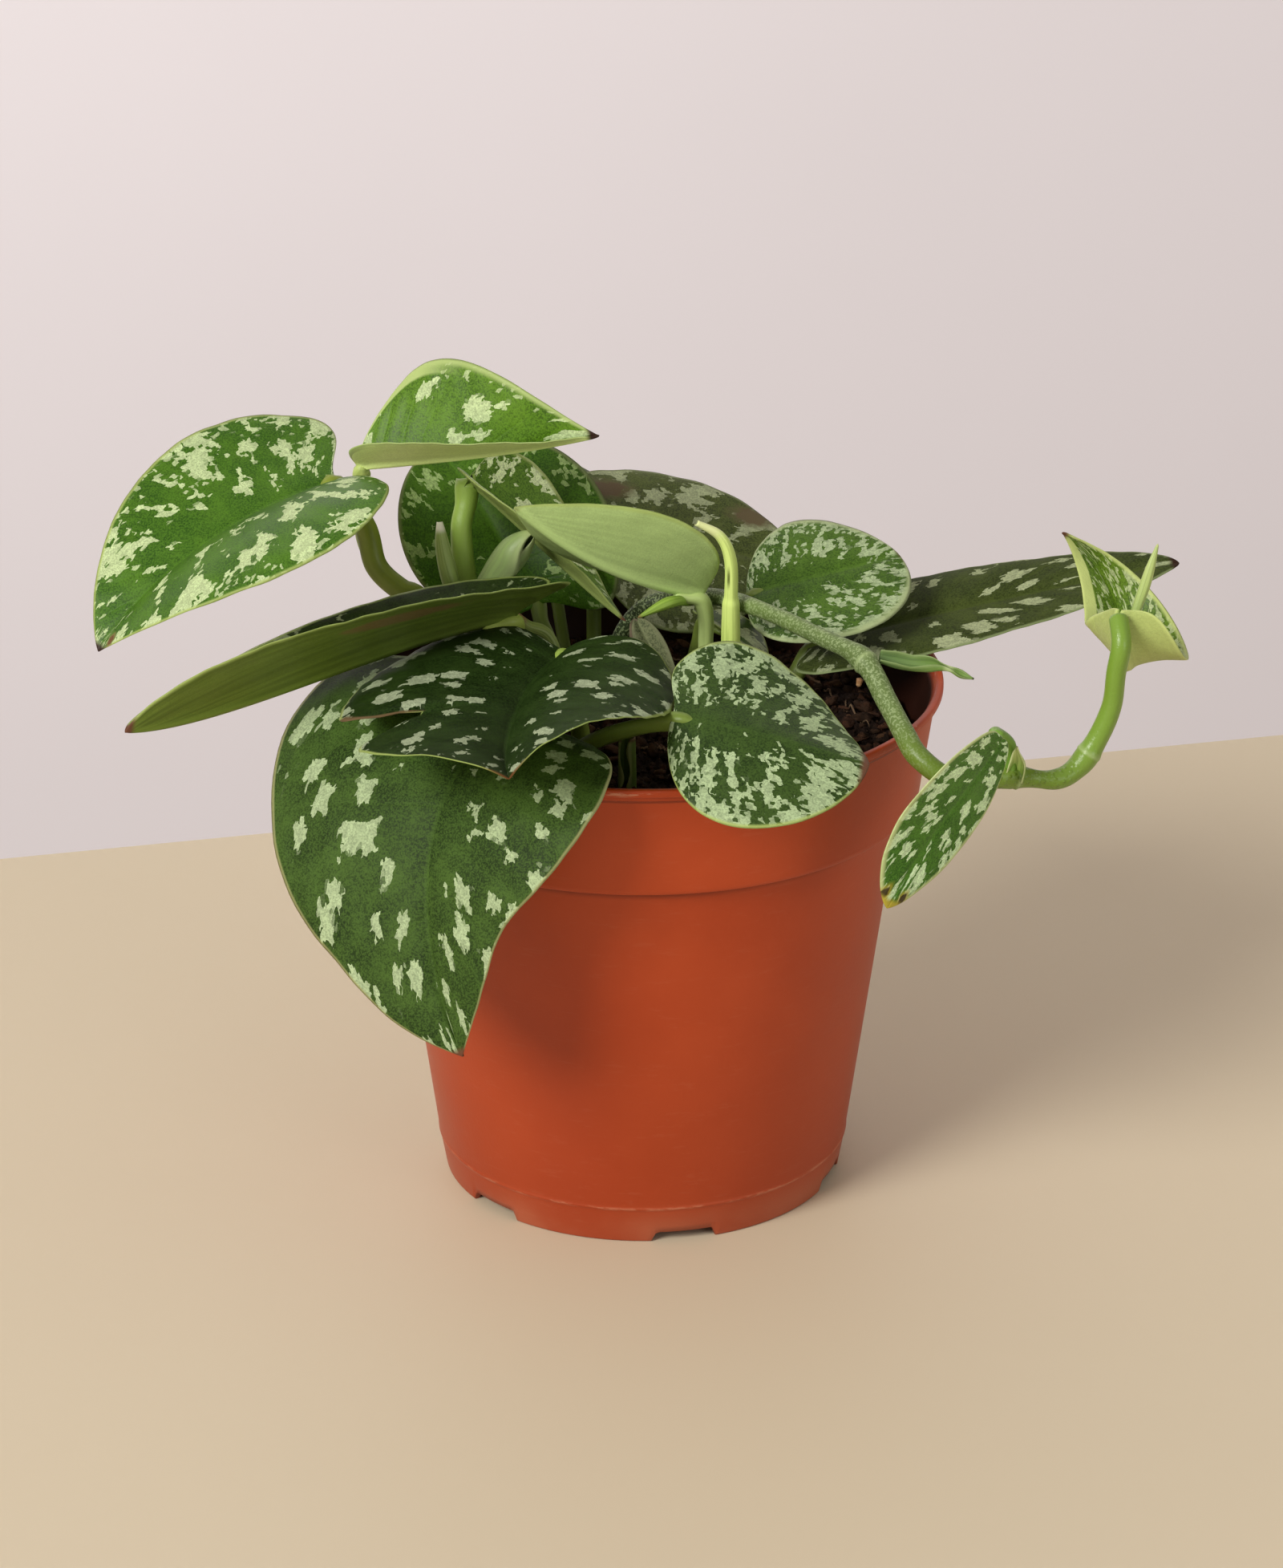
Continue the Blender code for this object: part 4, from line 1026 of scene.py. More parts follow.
# Spindles are thin, tapered pieces: sheaths, rolled leaves and spikes.  Each is a path with a radius
# at every point, as x, y, z, radius.  The rooted ones start in the soil.
ROOTED_SPINDLES = {
    "sheath_hooked": [(15.8, 3.4, 84, 1.2), (15.8, 3.4, 100.1, 1.3), (15.8, 3.2, 107.8, 1.2),
                      (15.7, 2.5, 116, 1.1), (13.8, 2, 121, 0.9), (9.5, 1, 124, 0.5)],
    "sheath_dark_back": [(-13, 8, 84, 1.0), (-16.6, 12, 97.1, 1.0), (-21, 11, 100.6, 0.9),
                         (-22.8, 10, 103.4, 0.3)],
    "young_leaf_rolled": [(-26, 8, 84, 1.2), (-28.5, 9.5, 98, 1.4), (-28.4, 10, 106.7, 2.0),
                          (-25.9, 10, 111.3, 2.6), (-22.9, 9.5, 115.4, 2.8), (-20.6, 8.8, 118.2, 1.6),
                          (-19.4, 8.4, 119.4, 0.3)],
    "stub_front": [(-2.7, -26, 84, 1.6), (-2.7, -26, 94, 1.4)],
}
SPINDLES = {
    "sheath_folded": [(-33, 11.2, 103, 1.0), (-35, 12.8, 109.5, 1.3), (-36.2, 14.6, 115, 1.1),
                      (-36.6, 15.4, 119, 0.5)],
    "sheath_runner": [(41.7, -20, 106.9, 1.3), (45.1, -20, 106.1, 1.6), (50, -20.6, 105.5, 1.4),
                      (52.4, -21, 105.1, 0.7), (54, -21.3, 104.8, 0.5), (56, -21.7, 104.1, 0.8),
                      (58.1, -22, 103.3, 0.2)],
    "spike_centre": [(10.3, 11.1, 105.4, 0.8), (8.2, 8.5, 106.2, 0.9), (6.3, 4.5, 107.8, 1.0),
                     (3.8, 2, 108, 1.1), (-0.9, 0, 106.3, 0.25)],
    "spike_rolled_right": [(84.8, -27.6, 115, 0.7), (85.8, -26.6, 118.5, 0.9), (87, -25.8, 122, 1.0),
                           (88, -25.2, 125.4, 0.8), (89.2, -24.4, 129.4, 0.2)],
    "root_nub": [(38.2, -21.2, 103.2, 0.7), (37.8, -21.5, 101.5, 0.4)],
}
ROOT_DEPTH = 7.5
COLLAR = 1.5
SOIL_LEVEL = soil_high.z / MM - 0.9


# %% Carry a section along a path
def smooth_path(points, spacing):
    """A Catmull-Rom curve through the points, sampled about every spacing millimetres."""
    points = np.asarray(points, float)
    ends = np.vstack([2 * points[0] - points[1], points, 2 * points[-1] - points[-2]])
    path = []
    for a, b, c, d in zip(ends[:-3], ends[1:-2], ends[2:-1], ends[3:]):
        count = max(2, round(np.linalg.norm((c - b)[:3]) / spacing))
        t = (np.arange(count) / count)[:, None]
        path.append(b + 0.5 * t * (c - a + t * (2 * a - 5 * b + 4 * c - d + t * (3 * (b - c) + d - a))))
    return np.vstack(path + [points[-1:]])


def rooted(foot, points, spacing):
    """A smooth path that starts in its socket in the soil."""
    collar = (*foot, SOIL_LEVEL + COLLAR)
    return np.vstack([(*foot, SOIL_LEVEL - ROOT_DEPTH), smooth_path([collar, *points], spacing)])


def path_frames(path):
    """Two directions square to a path, and to each other, turned as little as possible."""
    tangent = unit(np.gradient(path, axis=0))
    side = np.empty_like(path)
    start = np.cross(tangent[0], (0.31, 0.93, 0.17))
    side[0] = start / np.linalg.norm(start)
    for i in range(1, len(path)):
        kept = side[i - 1] - tangent[i] * (side[i - 1] @ tangent[i])
        side[i] = kept / np.linalg.norm(kept)
    return side, np.cross(tangent, side)


def distance_along(path):
    """Distance of each point of a path from its start, along the path."""
    return np.concatenate([[0], np.cumsum(np.linalg.norm(np.diff(path, axis=0), axis=1))])


def tube_sheet(path, radii, sides=28, channel=0.1, seed=0):
    """Closed sheet of a tube: place = path + radius * (cos * side + sin * up), with rounded ends.

    The channel is a dent of the section at one angle, and slow waves make the radius uneven.
    """
    side, up = path_frames(path)
    run = distance_along(path)
    turn = np.linspace(0, 2 * np.pi, sides, endpoint=False)
    uneven = 1 + 0.035 * np.sin(run / 3.1 + seed) * np.sin(run / 7.7 + 2 * seed)
    section = 1 - channel * np.exp(-(((turn - np.pi / 2 + np.pi) % (2 * np.pi) - np.pi) / 0.55) ** 2)
    from_end = np.minimum(run, run[-1] - run) / (0.6 * radii.mean())
    cap = np.sqrt(np.clip(1 - (1 - from_end).clip(0) ** 2, 0, 1))
    radius = (radii * uneven * cap)[:, None] * section
    ring = np.cos(turn)[None, :, None] * side[:, None] + np.sin(turn)[None, :, None] * up[:, None]
    sheet = path[:, None] + radius[..., None] * ring
    around = np.linspace(0, 1, sides + 1)
    uv = np.stack(np.broadcast_arrays(around[None, :], (run / UV_SPAN)[:, None]), -1)
    share = np.broadcast_to((run / run[-1])[:, None], radius.shape)
    return sheet, uv, {"share": share}


# %% Stem finish
def stem_material(name, low, high, gloss=0.38):
    """A colour that changes from the soil to the leaf, with long soft streaks."""
    material, tree = new_material(name, gloss, IOR=1.42, Specular_IOR_Level=0.35)
    grain = place_group(tree, grain_group, Size=0.45, Seed=float(len(name)))
    colour = blend(fade(point_value(tree, "share"), 0.0, 1.0), rgba(low), rgba(high))
    streak = noise(stretch(surface_place(tree), (9.0, 6.0, 1.0)), 1.0, 3.0)
    colour = blend(fade(streak, 0.4, 0.7, 0.0, 0.35), colour, rgba(low, 0.7))
    colour = blend(fade(grain["Broad"], 0.4, 0.7, 0.0, 0.3), colour, rgba(high, 1.3))
    return finish_with(material, colour, None, grain["Fine"] * 0.4, distance=0.00015, strength=0.8)


# %% Build the stalks
STALK_LOOKS = {
    "far_left": ((0.11, 0.15, 0.015), (0.19, 0.24, 0.028)),
    "top": ((0.16, 0.24, 0.04), (0.42, 0.52, 0.15)),
    "long_left": ((0.26, 0.36, 0.06), (0.36, 0.46, 0.09)),
    "draped": ((0.13, 0.18, 0.03), (0.11, 0.15, 0.02)),
    "torn_front": ((0.26, 0.36, 0.06), (0.3, 0.42, 0.08)),
    "round_front": ((0.13, 0.18, 0.02), (0.15, 0.22, 0.04)),
    "centre": ((0.38, 0.5, 0.17), (0.42, 0.54, 0.19)),
    "folded": ((0.4, 0.52, 0.14), (0.3, 0.46, 0.08)),
}
DULL_STALK = ((0.12, 0.17, 0.03), (0.16, 0.22, 0.04))
DRY_STALK = ((0.13, 0.08, 0.05), (0.25, 0.2, 0.13))
REACH_UNDER = 5.5           # how far a stalk runs on under the midrib
SHORT_REACH = {"top": 1.2, "folded": 1.0, "far_left": 3.0}
MIDRIB_CLEAR = 0.9          # how deep it lies under the middle of the blade there


def stalk_path(stalk):
    """From the socket in the soil, through the stalk's own points, and on under the midrib."""
    leaf = leaf_named[stalk.leaf]
    stations, places, frames = midrib(leaf, 60)
    depth = BLADE / 2 + MIDRIB_CLEAR
    longest = SHORT_REACH.get(stalk.leaf, REACH_UNDER)
    under = []
    for reach in (0.0, longest / 2, longest):
        near = np.searchsorted(stations, reach)
        under.append(places[near] - depth * (1 - 0.25 * reach / longest) * frames[near][:, 2])
    return rooted(stalk.foot, [*stalk.points, *under], 0.8)


def build_stalk(stalk):
    """One stalk, swollen at the soil and before the blade, and tapered under the midrib."""
    path = stalk_path(stalk)
    run = distance_along(path)
    left = run[-1] - run
    reach = SHORT_REACH.get(stalk.leaf, REACH_UNDER)
    swell = 1 + 0.16 * np.exp(-((left - reach - 1) / 3.0) ** 2) + 0.15 * np.exp(-(run / 6.0) ** 2)
    taper = 0.35 + 0.65 * np.clip(left / reach, 0, 1) ** 0.7
    name = "stem_" + stalk.leaf
    piece = surface(name, *tube_sheet(path, stalk.radius * 0.98 * swell * taper, seed=len(stalk.leaf)))
    if stalk.leaf in DRY:
        slot, material = "dry_leaf", stem_material(name, *DRY_STALK, gloss=0.7)
    else:
        slot, material = "leaf_stalk", stem_material(name, *STALK_LOOKS.get(stalk.leaf, DULL_STALK))
    settle(piece, ["stalk_" + stalk.leaf], material)


for stalk in STALKS:
    build_stalk(stalk)
print("stalks:", len(STALKS))

# %% [markdown]
# ## The long shoot
#
# The shoot leaves the soil, arches forward over the rim, and dips before its last leaf.  It is a tube like
# the stalks, with a swelling and a thin raised ring at each node, where a leaf or a root starts.  Its skin
# is speckled with pale dots up to the second node, and glossy and finely pimpled after it.

# %% Build the shoot
NODE_PLACES = ((38.5, -20, 106.2), (64.1, -38.2, 91.4), (77.0, -33.7, 93.0))


def past_node(path, place):
    """How far each point of a path is past the point nearest to a node."""
    at = distance_along(path)
    return at - at[np.linalg.norm(path - np.array(place), axis=1).argmin()]


def node_rings(path):
    """One on the thin ring of each node, and zero away from it: exp(-((off - 1.2) / 0.35)^2)."""
    return sum(np.exp(-((past_node(path, place) - 1.2) / 0.35) ** 2) for place in NODE_PLACES)


def node_swelling(path, radii):
    """Radii with a smooth swelling at each node and a thin ring on it."""
    for place in NODE_PLACES:
        radii = radii * (1 + 0.2 * np.exp(-(past_node(path, place) / 2.4) ** 2))
    return radii * (1 + 0.1 * node_rings(path))


def seat_side(leaf, last):
    """Which side of the blade a stalk comes from: -1 is the lower side."""
    return -1 if (np.array(leaf.joint) - last) @ joint_frame(leaf)[:, 2] > 0 else 1


def blade_seat(leaf, last, depth):
    """The point on a blade's joint that a stem from the point last grows into."""
    return np.array(leaf.joint) + seat_side(leaf, last) * depth * joint_frame(leaf)[:, 2]


shoot_end = blade_seat(leaf_named["rolled_right"], np.array(RUNNER_POINTS[-1]), 0.7)
shoot_path = rooted(RUNNER_FOOT, [*RUNNER_POINTS, shoot_end], 0.5)
shoot_run = distance_along(shoot_path)
after_node = 0.5 + 0.5 * np.tanh((shoot_path[:, 0] - RUNNER_NODE_X) / 1.5)
shoot_radii = 0.97 * (RUNNER_THIN_RADIUS + (RUNNER_RADIUS - RUNNER_THIN_RADIUS) * after_node)
shoot_radii *= 1 - 0.1 * np.clip((shoot_run - 0.72 * shoot_run[-1]) / (0.28 * shoot_run[-1]), 0, 1)
beyond_second = np.exp(-((shoot_path[:, 0] - 69.0) / 2.6) ** 2) * (shoot_path[:, 2] < 95)
shoot_radii *= 1 - 0.16 * beyond_second
sheet, uv, values = tube_sheet(shoot_path, node_swelling(shoot_path, shoot_radii), sides=36, channel=0.08,
                               seed=2)
values["ring"] = np.broadcast_to(node_rings(shoot_path)[:, None], sheet.shape[:2])
shoot = surface("long_shoot", sheet, uv, values)


def shoot_material():
    """Near-black next to the soil as painted shade, dull green with pale dots near the pot, and brighter,
    smoother green towards the last leaf.
    """
    material, tree = new_material("long_shoot", 0.4, IOR=1.42)
    share = point_value(tree, "share")
    grain = place_group(tree, grain_group, Size=0.42, Seed=2.0)
    # Painted shade: the first part of the shoot, low over the soil and under the leaves, is painted
    # near-black and brightens to dull green further on.
    dark = blend(fade(share, 0.12, 0.34), (0.022, 0.038, 0.01, 1), (0.115, 0.17, 0.048, 1))
    later = blend(fade(share, 0.72, 0.88), (0.13, 0.21, 0.018, 1), (0.17, 0.29, 0.035, 1))
    colour = blend(fade(share, 0.57, 0.66), dark, later)
    speckled = fade(share, 0.58, 0.68, 1.0, 0.0)
    dots = fade(grain["Fine"], 0.5, 0.58, 0.0, 0.75) * speckled
    colour = blend(dots, colour, (0.3, 0.38, 0.18, 1))
    colour = blend(fade(grain["Broad"], 0.42, 0.7, 0.0, 0.25), colour, (0.18, 0.28, 0.05, 1))
    ring = point_value(tree, "ring")
    colour = blend(ring * 0.7, colour, (0.36, 0.46, 0.2, 1))
    pimple = add(tree, "TexVoronoi", {"Vector": object_place(tree), "Scale": 1 / (0.85 * MM)})["Distance"]
    glossy = fade(share, 0.66, 0.7) * fade(share, 0.8, 0.83, 1.0, 0.0)
    height = fade(pimple, 0.0, 0.55, 1.0, 0.0) * glossy + grain["Fine"] * 0.4
    rough = fade(share, 0.58, 0.68, 0.52, 0.3)
    return finish_with(material, colour, rough, height, distance=0.0002, strength=0.9)


settle(shoot, ["runner"], shoot_material())

branch_end = blade_seat(leaf_named["hanging_right"], np.array(BRANCH_POINTS[-1]), 0.5)
branch_start = (63.6, -38.6, 91.9)
branch_path = smooth_path([branch_start, *BRANCH_POINTS, branch_end], 0.8)
branch = surface("stem_hanging_right",
                 *tube_sheet(branch_path, np.full(len(branch_path), BRANCH_RADIUS * 1.05), seed=4))
settle(branch, ["stalk_hanging_right"],
       stem_material("stem_hanging_right", (0.13, 0.25, 0.03), (0.18, 0.33, 0.05)))
print("the shoot is", round(shoot_run[-1]), "mm long")

# %% [markdown]
# ## Sheaths, spikes and a young leaf
#
# Where a leaf comes out, the plant leaves a thin sheath: a strip wrapped round the stem, open on one side
# and pointed at its end.  A sheath is an arc carried along a path; the arc's angle gets smaller towards
# the tip, so the sheath opens.  The young leaf is still rolled up: its arc is more than a full turn, and
# the radius shrinks on the way round, which makes a spiral.  The thin spikes are tapered tubes.

# %% Wrap a strip round a path
def wrapped_sheet(path, radii, wrap, back, thickness=0.3, columns=26, spiral=0.0, ragged=0.0, seed=1):
    """Closed thin shell: place = path + r * (cos(phi) * facing + sin(phi) * side).

    phi runs from -wrap/2 to wrap/2; facing is the direction back, made square to the path.  The radius
    grows from one edge to the other by the spiral.  The shell's inner face lies a thickness further in,
    and both faces meet at the ends and along the edges.
    """
    tangent = unit(np.gradient(path, axis=0))
    back = np.asarray(back, float)
    facing = unit(back - tangent * (tangent @ back)[:, None])
    side = np.cross(tangent, facing)
    run = distance_along(path)
    share = run / run[-1]
    lean = np.linspace(-1, 1, columns)
    stations = np.linspace(0, 1, len(wrap))
    half = np.radians(np.interp(share, stations, wrap)) / 2
    tear = ragged * np.sin(run[:, None] / 1.3 + seed + 2.0 * np.sign(lean)) * np.abs(lean) ** 8
    phi = half[:, None] * lean * (1 + tear)
    round_edge = np.sqrt(1 - lean ** 8)
    round_end = np.sqrt(np.clip(1 - (2 * share - 1) ** 16, 0, 1))
    rib = 1 + 0.03 * np.sin(9 * lean) * np.sin(np.pi * share)[:, None]
    outer = radii[:, None] * (1 + spiral * lean) * rib
    inner = outer - thickness * round_end[:, None] * round_edge
    faces = [path[:, None] + (radius * np.cos(phi))[..., None] * facing[:, None]
             + (radius * np.sin(phi))[..., None] * side[:, None] for radius in (outer, inner)]
    sheet = both_faces(*faces)
    flat = np.stack(np.broadcast_arrays((lean / 2 + 0.5)[None, :], (run / UV_SPAN)[:, None]), -1)
    uv = np.concatenate([flat, flat[:, -2::-1]], axis=1)
    values = {"share": np.broadcast_to(share[:, None], sheet.shape[:2]),
              "edge": np.abs(np.concatenate([lean, lean[-2:0:-1]]))[None, :] * np.ones((len(path), 1))}
    return sheet, uv, values


# %% Sheath finish
SheathLook = namedtuple("SheathLook", "low high edge tip tip_start stain stain_at gloss stain_wide")


def sheath_material(name, look):
    """Lengthwise lines on a colour that changes to the tip, with a dry edge and one stain."""
    material, tree = new_material(name, look.gloss, IOR=1.42, Specular_IOR_Level=0.35)
    share = point_value(tree, "share")
    edge = point_value(tree, "edge")
    uv = surface_place(tree)
    grain = place_group(tree, grain_group, Size=0.4, Seed=float(len(name)))
    colour = blend(fade(share, 0.05, 0.75), rgba(look.low), rgba(look.high))
    line = noise(stretch(uv, (14.0, 5.0, 1.0)), 1.0, 2.0)
    colour = blend(fade(line, 0.45, 0.65, 0.0, 0.5), colour, rgba(look.low, 0.55))
    colour = blend(fade(edge, 0.72, 1.0, 0.0, 0.8), colour, rgba(look.edge))
    stained = fade(abs(share - look.stain_at) + grain["Broad"] * 0.12, 0.06, 0.13, 0.85, 0.0)
    around = abs(make("SeparateXYZ", uv)[0] - 0.47)
    stained = stained * fade(around, 0.6 * look.stain_wide, look.stain_wide, 1.0, 0.0)
    colour = blend(stained, colour, rgba(look.stain))
    colour = blend(fade(share, look.tip_start, min(1.0, look.tip_start + 0.08)), colour, rgba(look.tip))
    height = line * 0.8 + grain["Fine"] * 0.3
    return finish_with(material, colour, None, height, distance=0.00015, strength=0.8)


# %% Build the sheaths, the young leaf, the spikes and the stub
FRESH = SheathLook((0.15, 0.27, 0.035), (0.4, 0.52, 0.1), (0.55, 0.6, 0.25), (0.3, 0.2, 0.09), 0.97,
                   (0.3, 0.4, 0.1), -1.0, 0.4, 2.0)
SHEATH_LOOKS = {
    "sheath_hooked": FRESH._replace(low=(0.5, 0.68, 0.14), high=(0.72, 0.88, 0.26),
                                    edge=(0.8, 0.9, 0.42), tip=(0.72, 0.78, 0.36), tip_start=0.85,
                                    stain=(0.07, 0.09, 0.01), stain_at=0.68, stain_wide=0.05, gloss=0.3),
    "sheath_dark_back": FRESH._replace(high=(0.34, 0.42, 0.12), tip=(0.35, 0.22, 0.1), tip_start=0.86),
    "young_leaf_rolled": FRESH._replace(low=(0.34, 0.43, 0.18), high=(0.25, 0.36, 0.12),
                                        edge=(0.4, 0.48, 0.22), tip=(0.34, 0.42, 0.17), tip_start=0.93),
    "stub_front": FRESH._replace(low=(0.1, 0.17, 0.03), high=(0.16, 0.25, 0.05), tip=(0.2, 0.13, 0.06),
                                 tip_start=0.9),
    "sheath_folded": FRESH._replace(low=(0.28, 0.4, 0.09), high=(0.34, 0.44, 0.14),
                                    edge=(0.46, 0.52, 0.24), tip=(0.74, 0.72, 0.58), tip_start=0.86),
    "sheath_runner": FRESH._replace(low=(0.12, 0.2, 0.06), high=(0.17, 0.28, 0.06),
                                    edge=(0.24, 0.32, 0.12), tip=(0.04, 0.025, 0.015), tip_start=0.97,
                                    stain=(0.42, 0.5, 0.24), stain_at=0.72, gloss=0.5),
    "spike_centre": FRESH._replace(low=(0.2, 0.34, 0.04), high=(0.26, 0.4, 0.06), tip=(0.2, 0.12, 0.05),
                                   tip_start=0.93),
    "spike_rolled_right": FRESH._replace(low=(0.32, 0.43, 0.12), high=(0.4, 0.5, 0.17),
                                         tip=(0.5, 0.55, 0.22), tip_start=0.95),
    "root_nub": FRESH._replace(low=(0.24, 0.12, 0.05), high=(0.3, 0.16, 0.07), edge=(0.3, 0.17, 0.08),
                               tip=(0.36, 0.22, 0.11), tip_start=0.6),
}
# wrap: degrees of the arc from the foot to the tip.  back: which way the spine of the strip faces.
# wide: how much wider the strip is than the solid that stands for it.
Wrap = namedtuple("Wrap", "wrap back wide spiral ragged")
WRAPS = {
    "sheath_hooked": Wrap((330, 340, 330, 330, 345, 330, 250), (-0.3, -1, 0.2), 1.15, 0.05, 0.02),
    "sheath_dark_back": Wrap((330, 300, 240, 160), (0.4, -1, 0.2), 1.15, 0.05, 0.04),
    "young_leaf_rolled": Wrap((350, 400, 440, 460, 440, 300), (0.2, 1, 0.5), 1.05, 0.12, 0.0),
    "sheath_folded": Wrap((330, 280, 200, 150), (-0.3, -1, 0.1), 1.2, 0.05, 0.08),
    "sheath_runner": Wrap((200, 215, 190, 250, 330, 200, 150), (0.1, 0.35, -1), 1.05, 0.0, 0.0),
    "stub_front": Wrap((330, 320, 300), (0.3, 1, 0.1), 1.05, 0.05, 0.1),
}
HOOK_STEP_HEIGHT = 108.5    # the hooked sheath is two strips: the lower one is wider and ends here


def build_spindle(name, path):
    """A wrapped strip if the spindle has a wrap, and a tapered tube if not."""
    line, radii = path[:, :3], path[:, 3]
    if name == "sheath_hooked":
        radii = radii * (1.02 - 0.12 * np.tanh((line[:, 2] - HOOK_STEP_HEIGHT) / 0.5))
    wrap = WRAPS.get(name)
    if wrap is None:
        sheet, uv, values = tube_sheet(line, radii, sides=24, channel=0.12, seed=len(name))
        values["edge"] = np.zeros_like(values["share"])
    else:
        sheet, uv, values = wrapped_sheet(line, radii * wrap.wide, wrap.wrap, wrap.back, spiral=wrap.spiral,
                                          ragged=wrap.ragged, seed=len(name))
    settle(surface("strip_" + name, sheet, uv, values), [name],
           sheath_material("strip_" + name, SHEATH_LOOKS[name]))


for name, points in ROOTED_SPINDLES.items():
    build_spindle(name, smooth_path(points, 0.4))
for name, points in SPINDLES.items():
    build_spindle(name, smooth_path(points, 0.3))

# The leaf at the second node keeps a pale scale at its foot, a small strip that ends in a point.
SCALE_POINTS = [(64.3, -39.9, 91.6, 1.6), (64.7, -40.7, 94.4, 1.5), (64.4, -41.5, 96.8, 0.9),
                (64.5, -41.9, 98.6, 0.15)]
SCALE_LOOK = FRESH._replace(low=(0.22, 0.36, 0.05), high=(0.5, 0.6, 0.22), edge=(0.6, 0.66, 0.34))
scale_path = smooth_path(SCALE_POINTS, 0.2)
scale = surface("strip_second_node",
                *wrapped_sheet(scale_path[:, :3], scale_path[:, 3], (220, 200, 150, 110), (0.3, 0.6, 0.2)))
settle(scale, ["stalk_hanging_right"], sheath_material("strip_second_node", SCALE_LOOK))
print("sheaths, spikes and scales:", len(ROOTED_SPINDLES) + len(SPINDLES) + 1)

# %% [markdown]
# ## The nursery pot
#
# The pot is injection moulded: thin walls, a band under the lip that is a little wider than the body, a
# raised floor with a pad in the middle, and notches in the foot that let water out.  It is a profile
# turned about the axis.  The profile's corners are rounded, since sharp plastic edges catch no light, and
# the notches lift the foot where the angle is close to a notch's.

# %% Turn the pot
RIM_RADIUS = pot_high.x / MM
POT_HEIGHT = pot_high.z / MM
WALL = 1.1
FOOT_RADIUS = 36.4
FLOOR_LIFT = 3.2
PAD_RADIUS = 13.0
SEAM_RADIUS = 37.7
SEAM_HEIGHT = 7.1
BODY_TOP_RADIUS = 46.9
BAND_FOOT_RADIUS = 50.0
BAND_FOOT_HEIGHT = 73.9
BAND_TOP_RADIUS = 52.7
LIP_HEIGHT = 1.4
DRAIN_COUNT = 6
DRAIN_TURN = 12.0
DRAIN_WIDTH = 11.0
DRAIN_HEIGHT = 1.9
DRAIN_HOLE_RADIUS = 2.0
DRAIN_HOLE_CIRCLE = 25.0
POT_STEPS = 288

POT_PROFILE = [
    (0, 1.2), (PAD_RADIUS - 0.6, 1.2), (PAD_RADIUS + 3, FLOOR_LIFT + 1.2),
    (SEAM_RADIUS - WALL - 2.2, FLOOR_LIFT + 1.2), (SEAM_RADIUS - WALL, SEAM_HEIGHT),
    (BODY_TOP_RADIUS - WALL, BAND_FOOT_HEIGHT), (BAND_FOOT_RADIUS - WALL, BAND_FOOT_HEIGHT + 1.4),
    (BAND_TOP_RADIUS - WALL, POT_HEIGHT - 2), (RIM_RADIUS - 1.3, POT_HEIGHT), (RIM_RADIUS, POT_HEIGHT),
    (RIM_RADIUS, POT_HEIGHT - LIP_HEIGHT), (BAND_TOP_RADIUS + 0.35, POT_HEIGHT - LIP_HEIGHT - 0.1),
    (BAND_TOP_RADIUS + 0.3, POT_HEIGHT - LIP_HEIGHT - 1.0),
    (BAND_TOP_RADIUS - 0.05, POT_HEIGHT - LIP_HEIGHT - 1.2),
    (BAND_FOOT_RADIUS, BAND_FOOT_HEIGHT + 0.7), (BAND_FOOT_RADIUS - 0.4, BAND_FOOT_HEIGHT),
    (BODY_TOP_RADIUS, BAND_FOOT_HEIGHT - 0.4), (SEAM_RADIUS + 0.05, SEAM_HEIGHT + 0.5),
    (SEAM_RADIUS + 0.16, SEAM_HEIGHT), (SEAM_RADIUS - 0.1, SEAM_HEIGHT - 0.5), (FOOT_RADIUS, 0),
    (FOOT_RADIUS - 1.2, 0), (FOOT_RADIUS - 1.4, FLOOR_LIFT), (PAD_RADIUS + 3.4, FLOOR_LIFT),
    (PAD_RADIUS, 0), (0, 0),
]


def round_corners(points, reach=0.45, count=5):
    """Replace each inner corner by a quadratic arc, never longer than two fifths of its sides."""
    points = np.asarray(points, float)
    t = np.linspace(0, 1, count)[:, None]
    rounded = [points[:1]]
    for before, corner, after in zip(points[:-2], points[1:-1], points[2:]):
        back, on = before - corner, after - corner
        first = corner + back * min(0.4, reach / np.linalg.norm(back))
        last = corner + on * min(0.4, reach / np.linalg.norm(on))
        rounded.append((1 - t) ** 2 * first + 2 * t * (1 - t) * corner + t ** 2 * last)
    return np.vstack(rounded + [points[-1:]])


def refine(points, longest=3.0):
    """Add points so that no step of a profile is longer than the given length."""
    counts = np.ceil(np.linalg.norm(np.diff(points, axis=0), axis=1) / longest).astype(int)
    pieces = [np.linspace(a, b, n, endpoint=False) for a, b, n in zip(points[:-1], points[1:], counts)]
    return np.vstack(pieces + [points[-1:]])


def turned_sheet(profile, steps=POT_STEPS):
    """Sheet of a turned shape: (r, z) becomes (r cos a, r sin a, z) for every angle a."""
    turn = np.linspace(0, 2 * np.pi, steps, endpoint=False)
    radius, height = profile[:, 0][:, None], profile[:, 1][:, None]
    sheet = np.stack(np.broadcast_arrays(radius * np.cos(turn), radius * np.sin(turn), height), -1)
    return sheet, turn, radius


pot_sheet, turn, radius = turned_sheet(refine(round_corners(POT_PROFILE)))
first_notch = math.radians(-90 + DRAIN_TURN)
notch_gap = 2 * np.pi / DRAIN_COUNT
from_notch = np.abs((turn - first_notch + notch_gap / 2) % notch_gap - notch_gap / 2) * FOOT_RADIUS
notch = DRAIN_HEIGHT * np.clip((DRAIN_WIDTH / 2 - from_notch) / 0.7 + 0.5, 0, 1)
on_foot = np.clip((radius - FOOT_RADIUS + 2.4) / 0.5, 0, 1)
pot_sheet[..., 2] = np.maximum(pot_sheet[..., 2], notch * on_foot)
wobble = 0.06 * np.sin(3 * turn + 0.8) + 0.04 * np.sin(7 * turn)
pot_sheet[..., 2] += wobble * np.clip(pot_sheet[..., 2] / POT_HEIGHT, 0, 1) ** 6
inner_rows = np.arange(len(pot_sheet)) < pot_sheet[:, 0, 2].argmax()
pot = surface("turned_pot", pot_sheet,
              values={"inside": np.broadcast_to(inner_rows[:, None], pot_sheet.shape[:2])})

